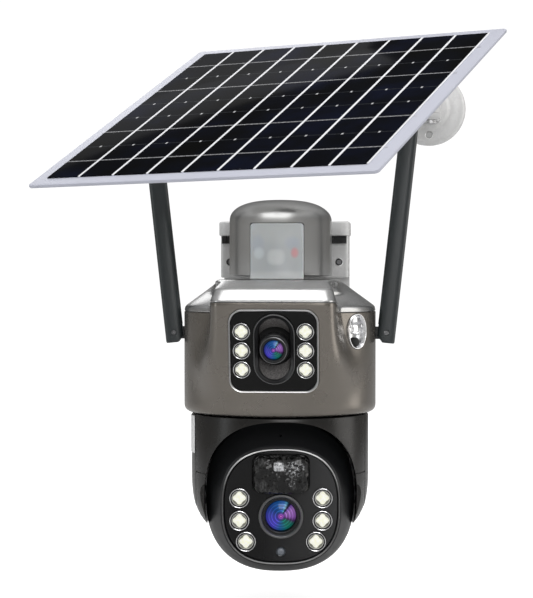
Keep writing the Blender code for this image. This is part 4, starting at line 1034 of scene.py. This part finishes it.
def service_port():
    def oval(half_w, half_h):
        return superellipse(half_w, half_h, 2.2, 72)

    cup = frame_ring([(oval(0.0095, 0.0116), -0.0079), (oval(0.0095, 0.0116), 0.0007), (oval(0.0093, 0.0114), 0.0010),
                      (oval(0.0090, 0.0111), 0.0010), (oval(0.0086, 0.0107), 0.0004), (oval(0.0080, 0.0101), -0.0018),
                      (oval(0.0066, 0.0088), -0.0044), (oval(0.0040, 0.0060), -0.0058), (oval(0.0010, 0.0020), -0.0062),
                      (oval(0.0010, 0.0020), -0.0079)])
    loft([facing(oval(0.0011, 0.0021), -0.0061), facing(oval(0.0011, 0.0021), -0.0078)], into=cup)
    for side in (-1, 1):
        a, b = sorted((side * 0.0049, side * 0.0062))
        block((a, 0.0, 0.0024), (b, 0.0055, 0.0046), 0.0003, into=cup)
    start = len(cup.faces)
    block((-0.0031, 0.0008, 0.0054), (0.0031, 0.0040, 0.0104), 0.0009, 4, into=cup)
    paint_faces(cup, start, 1)
    piece("port_dish", cup, "wall_set", [CUP, CHROME], PORT, "port_cup", 40)
    flap = block((-0.0034, -0.0010, -0.0048), (0.0034, 0.0010, 0.0012), 0.0009, 4)
    block((-0.0046, -0.0018, -0.0052), (0.0046, 0.0008, -0.0034), 0.0008, 4, into=flap)
    piece("port_flap_shell", flap, "port_flap", CHROME, FLAP, "port_flap", 40)
    plug = lathe([(0, 0.0008), (0.0018, 0.0006), (0.0027, 0.0001), (0.0031, -0.0008), (0.0031, -0.0036), (0, -0.0036)],
                 40, centre=(0, 0, -0.0070))
    piece("port_rubber", plug, "wall_set", RUBBER, PORT, "port_plug", 40)


# ---------------------------------------------------------------- antennas
def antenna(side, name):
    hub = at(side * 0.0723, -AXIS_OUT, HUB_HEIGHT)
    blade_frame = hub @ turn(side * 6.3, "Y")
    knob = lathe([(0, -side * 0.0138), (0.0050, -side * 0.0138), (0.0050, -side * 0.0082), (0.0046, -side * 0.0077),
                  (0.0034, -side * 0.0076), (0.0034, -side * 0.0070), (0, -side * 0.0070)], 40, "X")
    tip = arc((0, 0), 0.0042, 90, -90, 21)
    outline = [(side * x, z) for x, z in [(-0.0100, 0.0042)] + tip + [(-0.0100, -0.0042)]]
    tongue = carve(extruded(outline, -0.0020, 0.0020), pin(ANTENNA_PIVOT_R, -0.01, 0.01, 28))
    piece(f"antenna_hinge_{name}", merged(knob, tongue), f"antenna_hub_{name}", BLACK, hub,
          f"antenna_hub_{name}", 40, 0.0003)

    levels = [(-0.0068, 0.90), (-0.0066, 0.95), (-0.0060, 0.99), (-0.0052, 1.0), (0.0600, 1.0), (0.1300, 0.99),
              (0.1370, 0.97), (0.1410, 0.92), (0.1436, 0.83), (0.1447, 0.71), (0.1450, 0.55)]
    rings = [[(x * s, y * s, z) for x, y in superellipse(0.00625, 0.0046, 2.8, 56)] for z, s in levels]
    corner = [(-side * 0.0090, 0.00078), (-side * 0.0090, -0.0100), (side * 0.00095, -0.0100)]
    low_x, high_x = (-0.0090, 0.0052) if side > 0 else (-0.0052, 0.0090)
    blade = carve(loft(rings), block((low_x, -0.0023, -0.0100), (high_x, 0.0023, 0.0052), 0),
                  extruded(corner, -0.01, 0.01), pin(ANTENNA_PIVOT_R, -0.01, 0.01, 28), pin(0.0024, 0.0040, 0.01, 28))
    piece(f"antenna_shell_{name}", blade, f"antenna_{name}", ANTENNA, blade_frame,
          f"antenna_blade_{name}", 40)
    screw = lathe([(0, 0.0040), (0.0007, 0.0040), (0.0009, 0.0043), (0.0014, 0.0043), (0.00155, 0.0041),
                   (0.00155, -0.0045), (0, -0.0045)], 28)
    piece(f"antenna_pin_{name}", screw, f"antenna_{name}", DARK_METAL, blade_frame, f"antenna_screw_{name}", 40)


# ---------------------------------------------------------------- pan yoke
def yoke_profile(groove):
    curve = [(0.0600, -0.0400), (0.05997, -0.0430), (0.0599, -0.0460), (0.0597, -0.0492), (0.0593, -0.0530),
             (0.0587, -0.0572), (0.0578, -0.0612), (0.0563, -0.0652), (0.0542, -0.0694), (0.0517, -0.0730),
             (0.0487, -0.0764), (0.0446, -0.0802), (0.0400, -0.0840)]
    top = [(0.0592, 0.0), (0.0597, -0.0002), (0.0600, -0.0008)]
    seam = [(0.0600, -0.0380), (0.0593, -0.0382), (0.0593, -0.0386), (0.0600, -0.0388)] if groove else []
    return top + seam + curve


def yoke():
    back_edge = [(0.064, 0.01), (0.064, -0.0440), (0.0400, -0.0446), (0.0340, -0.0450), (0.0300, -0.0462),
                 (0.0270, -0.0485), (0.0252, -0.0520)]
    side_view = back_edge + arc((0, TILT_DOWN), 0.0245, 0, -180, 41) + [(-y, z) for y, z in back_edge[::-1]]
    body = lathe([(0, 0.0)] + yoke_profile(True) + [(0, -0.0840)], 128, "Z")
    body = carve(body, extruded(side_view, -0.08, 0.08, "X"), block((-0.0566, -0.07, -0.09), (0.0566, 0.07, 0.01), 0),
                 keep=True)
    outline = superellipse(0.0510, 0.0540, 2.5, 160)
    arch = extruded([(x, z + TILT_DOWN) for x, z in outline], -0.0020, 0.08)
    hollow = lathe([(max(0.0, z), x) for x, z in outline if z >= -1e-9], 120, "X", (0, 0, TILT_DOWN))
    axle = pin(0.0063, -0.07, 0.07, 40, "X", (0, 0, TILT_DOWN))
    body = carve(body, arch, hollow, axle)
    hub = lathe([(0.0100, 0.0160), (0.0100, 0.0075), (0.0135, 0.0075), (0.0135, -0.0010), (0.0080, -0.0010),
                 (0.0080, 0.0160)], 48, "Z", closed=True)
    piece("yoke_shell", merged(body, hub), "pan_yoke", YOKE_BLACK, PAN, "yoke", 32, 0.0004)
    for side, name in ((-1, "left"), (1, "right")):
        cover = lathe([(0, -0.0003)] + [(r, z - 0.0003) for r, z in yoke_profile(False)] + [(0, -0.0843)], 160, "Z")
        near, far = sorted((side * 0.0569, side * 0.07))
        cover = carve(cover, block((near, -0.07, -0.09), (far, 0.07, 0.01), 0), keep=True)
        piece(f"arm_cover_shell_{name}", cover, "pan_yoke", YOKE_BLACK, PAN, f"arm_cover_{name}", 32,
              0.0005)


# ---------------------------------------------------------------- tilting head
def through(rows, steps):
    """Rows of numbers with smooth rows in between, as a Catmull-Rom curve through them."""
    made = []
    for i in range(len(rows) - 1):
        a, b, c, d = rows[max(0, i - 1)], rows[i], rows[i + 1], rows[min(len(rows) - 1, i + 2)]
        for k in range(steps):
            t = k / steps
            made.append([0.5 * (2 * q + (r - p) * t + (2 * p - 5 * q + 4 * r - s) * t * t
                                + (3 * q - p - 3 * r + s) * t ** 3) for p, q, r, s in zip(a, b, c, d)])
    return made + [list(rows[-1])]


def head():
    outside = through([(0.0080, 0.0501, 0.0511, 2.4), (0.0200, 0.0472, 0.0477, 2.38), (0.0300, 0.0431, 0.0435, 2.45),
                       (0.0362, 0.0403, 0.0404, 2.55)], 6)
    bead = [(0.0368, 0.0398, 0.0397, 2.6), (0.0372, 0.0391, 0.0389, 2.6), (0.0377, 0.0389, 0.0387, 2.6),
            (0.0386, 0.0392, 0.0389, 2.6), (0.0394, 0.0392, 0.0389, 2.6), (0.0399, 0.0390, 0.0387, 2.6),
            (0.0402, 0.0387, 0.0384, 2.6), (0.0402, 0.0384, 0.0381, 2.6), (0.0399, 0.0381, 0.0378, 2.6),
            (0.0393, 0.0379, 0.0376, 2.6), (0.0387, 0.0378, 0.0375, 2.6)]
    inside = [(0.0355, 0.0377, 0.0374, 2.6), (0.0300, 0.0390, 0.0392, 2.45), (0.0080, 0.0474, 0.0484, 2.4)]
    rows = [facing(superellipse(w, h, p, 128), out) for out, w, h, p in outside + bead + inside]
    shell = loft(rows, loop=True)
    # the bead takes the rim finish with its painted highlights
    first, last = (len(outside) + 5) * 128, (len(outside) + 8) * 128
    shell.faces.ensure_lookup_table()
    for face in shell.faces[first:last]:
        face.material_index = 1
    hole = moved(pin(0.0011, -0.004, 0.004, 28),
                 at(0, -0.0262, 0.0452) @ turn(-58, "X") @ Matrix.Diagonal((0.8, 1, 1.35, 1)))
    piece("head_front", carve(shell, hole), "tilt_head", [BLACK, FACE_RIM_PAINTED_HIGHLIGHT], TILT,
          "head_shell_front", 38)

    def bowl(inset):
        """Half of a superellipse, as (distance from the tilt axis, place along it)."""
        half = [math.pi * k / 64 for k in range(65)]
        points = [(max(0.0, math.sin(t)) ** (2 / 2.4) * (0.0518 - inset),
                   math.copysign(abs(math.cos(t)) ** (2 / 2.4), math.cos(t)) * (0.0505 - inset)) for t in half]
        return [(0, 0.0505 - inset)] + points[1:-1] + [(0, inset - 0.0505)]

    rear = carve(lathe(bowl(0), 120, "X"), lathe(bowl(0.0024), 120, "X"))
    rear = carve(rear, block((-0.06, -0.0077, -0.06), (0.06, 0.06, 0.06), 0), keep=True)
    for side in (-1, 1):
        lathe([(0, side * 0.0478), (0.0060, side * 0.0478), (0.0060, side * 0.0560), (0.0057, side * 0.05625),
               (0, side * 0.05625)], 40, "X", into=rear)
    piece("head_rear", rear, "tilt_head", BLACK, TILT, "head_shell_rear", 35)


def face():
    lens_z, motion_z = -0.0064, 0.0222
    motion = rounded(0.0380, 0.0258, 0.0060, 10)
    rows = ((0.0275, 0.0060), (0.0275, -0.0091), (0.0232, -0.0232))
    ways = [pin(0.0151, 0.02, 0.05, 72, centre=(0, 0, lens_z)),
            extruded([(x * 1.012, z * 1.015 + motion_z) for x, z in motion], 0.02, 0.05),
            pin(0.0035, 0.02, 0.05, 40, centre=(0, 0, -0.0305))]
    for side in (-1, 1):
        ways += [pin(0.0068, 0.02, 0.05, 48, centre=(side * x, 0, z)) for x, z in rows]
    plate = slab(lambda i: superellipse(0.0374 - i, 0.0371 - i, 2.6, 128), 0.0388, 0.0368, 0.0004)
    piece("smoked_face", carve(plate, *ways), "tilt_head", PLATE, TILT, "face_plate", 40)
    for side, name in ((-1, "left"), (1, "right")):
        a, b = sorted((side * 0.0190, side * 0.0290))
        lamp_row(f"face_lamps_{name}", [(side * x, z) for x, z in rows], 0.0066, -0.0341, (a, -0.0255, b, 0.0110), TILT,
                 "tilt_head", f"head_lamps_{name}")

    def bulge(width_top, width_low, half_h, out):
        """The motion lens's outline: straight sides that close in a little towards the bottom."""
        points = []
        for x, z in motion:
            t = (z / 0.0129 + 1) / 2
            points.append((x / 0.0190 * mix(width_low, width_top, t), z / 0.0129 * half_h))
        return facing(points, out, (0, motion_z))

    lens = loft([bulge(0.0190, 0.0190, 0.0129, 0.0358), bulge(0.0190, 0.0188, 0.0129, 0.0392),
                 bulge(0.0189, 0.0184, 0.0128, 0.0420), bulge(0.0187, 0.0178, 0.0126, 0.0440),
                 bulge(0.0182, 0.0168, 0.0121, 0.0457), bulge(0.0170, 0.0150, 0.0112, 0.0470),
                 bulge(0.0148, 0.0126, 0.0096, 0.0478), bulge(0.0110, 0.0090, 0.0070, 0.0483),
                 bulge(0.0050, 0.0040, 0.0030, 0.0484)])
    piece("motion_lens_shell", lens, "tilt_head", MOTION, TILT, "motion_lens", 50)

    ring_shape = lathe([(0.0133, 0.0411), (0.0138, 0.0413), (0.0142, 0.0413), (0.0146, 0.0411), (0.01485, 0.0407),
                        (0.0149, 0.0350), (0.0126, 0.0350), (0.0126, 0.0398), (0.0129, 0.0404)], 96, closed=True)
    lens_frame = TILT @ at(0, 0, lens_z)
    # the zoom ring's lighter grey is a painted ring of highlights
    piece("zoom_ring", ring_shape, "tilt_head", [RIM_PAINTED_HIGHLIGHT], lens_frame, "zoom_lens_ring", 30)
    barrel = lathe([(0, 0.0345), (0.0104, 0.0352), (0.0106, 0.0380), (0.0109, 0.0388), (0.0113, 0.0390),
                    (0.0115, 0.0386), (0.0118, 0.0386), (0.0120, 0.0396), (0.0123, 0.0398), (0.0123, 0.0200),
                    (0, 0.0200)], 96)
    piece("zoom_barrel", barrel, "tilt_head", SHROUD, lens_frame, "zoom_lens_barrel", 35)
    glass = lathe([(0, 0.0398), (0.0020, 0.03972), (0.0040, 0.03948), (0.0060, 0.03903), (0.0080, 0.0383),
                   (0.0093, 0.03765), (0.0101, 0.0370), (0.0101, 0.0356), (0, 0.0356)], 80)
    piece("zoom_glass", glass, "tilt_head", ZOOM_GLASS, lens_frame, "zoom_lens_glass", 40)
    dome = lathe([(0, 0.0017), (0.0008, 0.00165), (0.0016, 0.0014), (0.0023, 0.0009), (0.0028, 0.0001),
                  (0.0030, -0.0004), (0.0033, -0.0003), (0.0033, -0.0030), (0, -0.0030)], 48)
    piece("light_sensor_dome", dome, "tilt_head", DOME, TILT @ at(0, -0.0375, -0.0305), "light_sensor", 40)


# ---------------------------------------------------------------- solar panel and its arm
def panel():
    top = PANEL_TOP
    plate = bmesh.new()
    rows = []
    for z, i in ((top - 0.0030, 0.0006), (top - 0.0028, 0.0002), (top - 0.0024, 0), (top - 0.0014, 0),
                 (top - 0.0010, 0.0002), (top - 0.0008, 0.0006)):
        rows.append([(x, y, z) for x, y in rounded(PANEL_W - 2 * i, PANEL_H - 2 * i, 0.0030 - i, 6)])
    loft(rows, into=plate)
    for face in plate.faces:
        if face.calc_center_median().z < top - 0.0027:
            face.material_index = 1
    piece("panel_sheet", plate, "solar_panel", [PANEL_WHITE, BACKSHEET], PANEL, "panel_plate", 30)
    half_w, half_h = PANEL_W * (0.5 - 0.0390), PANEL_H * (0.5 - 0.0385)
    cells = block((-half_w, -half_h, top - 0.0006), (half_w, half_h, top), 0.00015, 2)
    piece("cell_field", cells, "solar_panel", CELLS, PANEL, "cell_sheet", 30)
    ribbons = bmesh.new()                       # the ends of the soldered ribbons, over the white border
    for v in (0.143, 0.345, 0.650, 0.849):
        for side in (-1, 1):
            a, b = sorted((side * half_w, side * (half_w + 0.0022)))
            y = PANEL_H * (v - 0.5)
            block((a, y - 0.0004, top - 0.0009), (b, y + 0.0004, top - 0.0006), 0, into=ribbons)
    piece("ribbon_ends", ribbons, "solar_panel", STEEL, PANEL)


def arm():
    start = BASE @ Vector((0, -FORK_OUT, 0))
    pad = TILT_POINT - Vector((0, 0, 0.0200))
    flat = Vector((pad.x - start.x, pad.y - start.y, 0))
    reach, ahead = flat.length, flat.normalized()
    route = []
    for i in range(10):
        share = i / 9
        drop = smoothstep(0.12, 0.92, share) * (pad.z - start.z) + 0.0022 * math.sin(math.pi * share)
        route.append(start + ahead * (0.006 + (reach - 0.012) * share) + Vector((0, 0, drop)))
    body = tube(rounded_path(route, [0.008] * (len(route) - 2), 5), 0.0045, 28)
    for radius, centre in ((0.0078, start), (0.0092, pad)):
        eye = lathe([(0.0031, 0.0047), (0.0034, 0.0050), (radius - 0.0006, 0.0050), (radius - 0.0002, 0.0048),
                     (radius, 0.0043), (radius, -0.0043), (radius - 0.0002, -0.0048), (radius - 0.0006, -0.0050),
                     (0.0034, -0.0050), (0.0031, -0.0047)], 48, "Z", centre, closed=True)
        merged(body, eye)
    piece("arm_tube", body, "panel_arm", WHITE, stands_for="panel_arm", sharp=40)


def wall_base():
    disc = lathe([(0, 0.0105), (0.0118, 0.0105), (0.0126, 0.0103), (0.0131, 0.0097), (0.0148, 0.0076), (0.0156, 0.0071),
                  (0.0190, 0.0069), (0.0222, 0.0065), (0.0240, 0.0059), (0.0251, 0.0049), (0.0258, 0.0034),
                  (0.0260, 0.0018), (0.0260, 0.0), (0, 0.0)], 96)
    ways = [pin(0.0028, -0.01, 0.03, 36, centre=(0, 0, side * BASE_SCREW_Z)) for side in (-1, 1)]
    disc = carve(disc, *ways)
    fork = carve(block((-0.0080, -0.0350, -0.0095), (0.0080, -0.0020, 0.0095), 0.0012, 3),
                 block((-0.02, -0.05, -0.0053), (0.02, -0.0170, 0.0053), 0),
                 pin(0.0031, -0.02, 0.02, 32, "Z", (0, -FORK_OUT, 0)))
    piece("wall_disc", merged(disc, fork), "wall_set", WHITE, BASE, "panel_wall_base", 40)
    screws = bmesh.new()
    for side in (-1, 1):
        merged(screws, moved(cross_screw(0.0025, 0.0016), at(0, -0.0058, side * BASE_SCREW_Z)))
    piece("wall_disc_screws", screws, "wall_set", WHITE, BASE)


# ---------------------------------------------------------------- what stays as the CAD has it
def carried_over():
    finishes = {"back_plate": WHITE, "latch_bar": BLACK, "support_arm": STEEL, "base_plate": BLACK,
                "indicator_board": BOARD, "main_board": BOARD, "head_board": BOARD, "pan_motor": STEEL,
                "tilt_motor": STEEL, "pan_gear": GEAR, "pan_pinion": GEAR, "blank_label": LABEL, "swing_pin": STEEL,
                "tilt_knuckle": WHITE, "panel_mount": WHITE, "tilt_bolt": STEEL, "tilt_knob": BLACK,
                "junction_box": BLACK}
    for number in (1, 2, 3):
        finishes[f"battery_cell_{number}"] = BATTERY
    for name, finish in finishes.items():
        node = NODES[name]
        for slot in node.material_slots:
            slot.material = finish.material
    for name, width in (("tilt_knuckle", 0.0003), ("panel_mount", 0.0005), ("tilt_knob", 0.0006),
                        ("junction_box", 0.0003), ("support_arm", 0.0004), ("swing_pin", 0.0003)):
        soften(NODES[name], width)


housing()
roof()
cap()
milky_window()
bracket()
front_face()
fixed_lens()
service_port()
for SIDE, NAME in ((-1, "left"), (1, "right")):
    antenna(SIDE, NAME)
yoke()
head()
face()
panel()
arm()
wall_base()
carried_over()


# ---------------------------------------------------------------- studio
def node_maker(owner):
    """Empties a node tree, and returns a call that adds a node with inputs set to sockets or values."""
    owner.use_nodes = True
    tree = owner.node_tree
    tree.nodes.clear()

    def add(kind, inputs=None, **settings):
        made = tree.nodes.new(kind)
        for key, value in settings.items():
            setattr(made, key, value)
        for socket, source in (inputs or {}).items():
            if isinstance(source, bpy.types.NodeSocket):
                tree.links.new(source, made.inputs[socket])
            else:
                made.inputs[socket].default_value = source
        return made

    return add


def studio():
    scene = bpy.context.scene
    scene.view_settings.view_transform = "Standard"
    world = bpy.data.worlds.new("studio")
    scene.world = world
    add = node_maker(world)
    axes = add("ShaderNodeSeparateXYZ", {0: add("ShaderNodeTexCoord").outputs["Generated"]}).outputs
    height = add("ShaderNodeMapRange", {"Value": axes["Z"], "From Min": -1, "From Max": 1})
    room = add("ShaderNodeValToRGB", {0: height.outputs[0]})
    steps = room.color_ramp.elements
    for element, (place, tone) in zip([steps[0], steps[1], steps.new(0.5), steps.new(0.62)],
                                      ((0.30, (0.10, 0.10, 0.10)), (1.0, (0.26, 0.26, 0.27)), (0.5, (0.34, 0.33, 0.31)),
                                       (0.62, (0.30, 0.30, 0.30)))):
        element.position = place
        element.color = (*tone, 1)
    # darker behind the object than in front of it
    depth = add("ShaderNodeMapRange", {"Value": axes["Y"], "From Min": -0.2, "From Max": 0.9, "To Min": 1.0,
                                       "To Max": 0.5})
    dimmed = add("ShaderNodeMix", {0: 1.0, 6: room.outputs[0], 7: depth.outputs[0]}, data_type="RGBA",
                 blend_type="MULTIPLY")
    lit = add("ShaderNodeBackground", {"Color": dimmed.outputs[2], "Strength": 1.0})
    seen = add("ShaderNodeBackground", {"Color": (1, 1, 1, 1), "Strength": 1.05})
    camera_ray = add("ShaderNodeLightPath").outputs["Is Camera Ray"]
    both = add("ShaderNodeMixShader", {0: camera_ray, 1: lit.outputs[0], 2: seen.outputs[0]})
    add("ShaderNodeOutputWorld", {0: both.outputs[0]})

    floor_mesh = bmesh.new()
    bmesh.ops.create_circle(floor_mesh, cap_ends=True, radius=6.0, segments=96)
    data = bpy.data.meshes.new("floor")
    floor_mesh.to_mesh(data)
    floor_mesh.free()
    floor = bpy.data.objects.new("floor", data)
    floor.location = (0, 0, CAD_LOW.z - 0.02)
    scene.collection.objects.link(floor)
    paper = bpy.data.materials.new("floor")
    add = node_maker(paper)
    matte = add("ShaderNodeBsdfDiffuse", {"Color": (0.62, 0.62, 0.62, 1)})
    gain = add("ShaderNodeMath", {0: add("ShaderNodeLightPath").outputs["Is Camera Ray"], 1: 0.70},
               operation="MULTIPLY")
    glow = add("ShaderNodeEmission", {"Color": (1, 1, 1, 1), "Strength": gain.outputs[0]})
    total = add("ShaderNodeAddShader", {0: matte.outputs[0], 1: glow.outputs[0]})
    add("ShaderNodeOutputMaterial", {0: total.outputs[0]})
    data.materials.append(paper)

    # the photograph lights the camera as if the panel over it cast no shade
    clear = bpy.data.collections.new("casts_no_shade")
    for over in list(scene.objects):
        if (over.get("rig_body") in ("solar_panel", "panel_arm", "panel_knuckle")
                or over.name in ("junction_box", "panel_mount")):
            clear.objects.link(over)
    for entry in clear.collection_objects:
        entry.light_linking.link_state = "EXCLUDE"

    # the domed cap has a highlight of its own, and takes none from the other softboxes
    groups = {}
    for label, state, entry in (("cap_only", "INCLUDE", "cap_shell"), ("all_but_cap", "EXCLUDE", "cap_shell"),
                                ("head_only", "INCLUDE", "head_front")):
        groups[label] = bpy.data.collections.new(label)
        groups[label].objects.link(scene.objects[entry])
        groups[label].collection_objects[0].light_linking.link_state = state

    def softbox(name, place, target, width, height, power, colour=(1, 1, 1), past_panel=False, falls_on="all_but_cap"):
        light = bpy.data.lights.new(name, "AREA")
        light.shape = "RECTANGLE"
        light.size, light.size_y = width, height
        light.energy = power
        light.color = colour
        lamp = bpy.data.objects.new(name, light)
        lamp.location = place
        lamp.rotation_euler = (Vector(target) - Vector(place)).to_track_quat("-Z", "Y").to_euler()
        lamp.visible_camera = False
        scene.collection.objects.link(lamp)
        if past_panel:
            lamp.light_linking.blocker_collection = clear
        lamp.light_linking.receiver_collection = groups[falls_on]
        if falls_on == "head_only":
            lamp.light_linking.blocker_collection = groups[falls_on]

    softbox("overhead", (0.0, -0.20, 1.15), (0, -0.199, -0.05), 1.2, 0.60, 7, past_panel=True)
    softbox("cap_front", (-0.10, -1.25, 0.90), (0, -0.10, 0), 1.7, 1.1, 11, past_panel=True, falls_on="cap_only")
    softbox("head_top", (0.0, -0.70, 0.75), (0, -0.10, -0.13), 0.9, 0.3, 3, falls_on="head_only")
    softbox("left_strip", (-0.98, -0.42, 0.05), (0, -0.08, -0.08), 0.25, 1.2, 1.5, (0.93, 0.98, 1.0))
    softbox("right_wide", (1.05, 0.02, 0.05), (0, -0.08, -0.08), 0.60, 1.2, 4.0, (1.0, 0.98, 0.95))
    softbox("front_fill", (0.45, -2.2, 0.60), (0, -0.1, -0.05), 1.2, 0.9, 16)
    softbox("back_fill", (-0.6, 1.6, 0.9), (0, 0, 0), 1.2, 0.8, 5)

    lens = bpy.data.cameras.new("camera")
    lens.sensor_width = 36
    lens.sensor_fit = "AUTO"
    lens.lens = lens.sensor_width * 1880 / 598
    lens.clip_end = 12
    camera = bpy.data.objects.new("camera", lens)
    yaw, pitch = math.radians(4.3), math.radians(-1.0)
    ahead = Vector((-math.sin(yaw) * math.cos(pitch), math.cos(yaw) * math.cos(pitch), math.sin(pitch)))
    across = Vector((math.cos(yaw), math.sin(yaw), 0))
    camera.matrix_world = Matrix((across, across.cross(ahead), -ahead)).transposed().to_4x4()
    camera.location = (0.08675642, -1.35131566, -0.00189405)
    scene.collection.objects.link(camera)
    scene.camera = camera


studio()
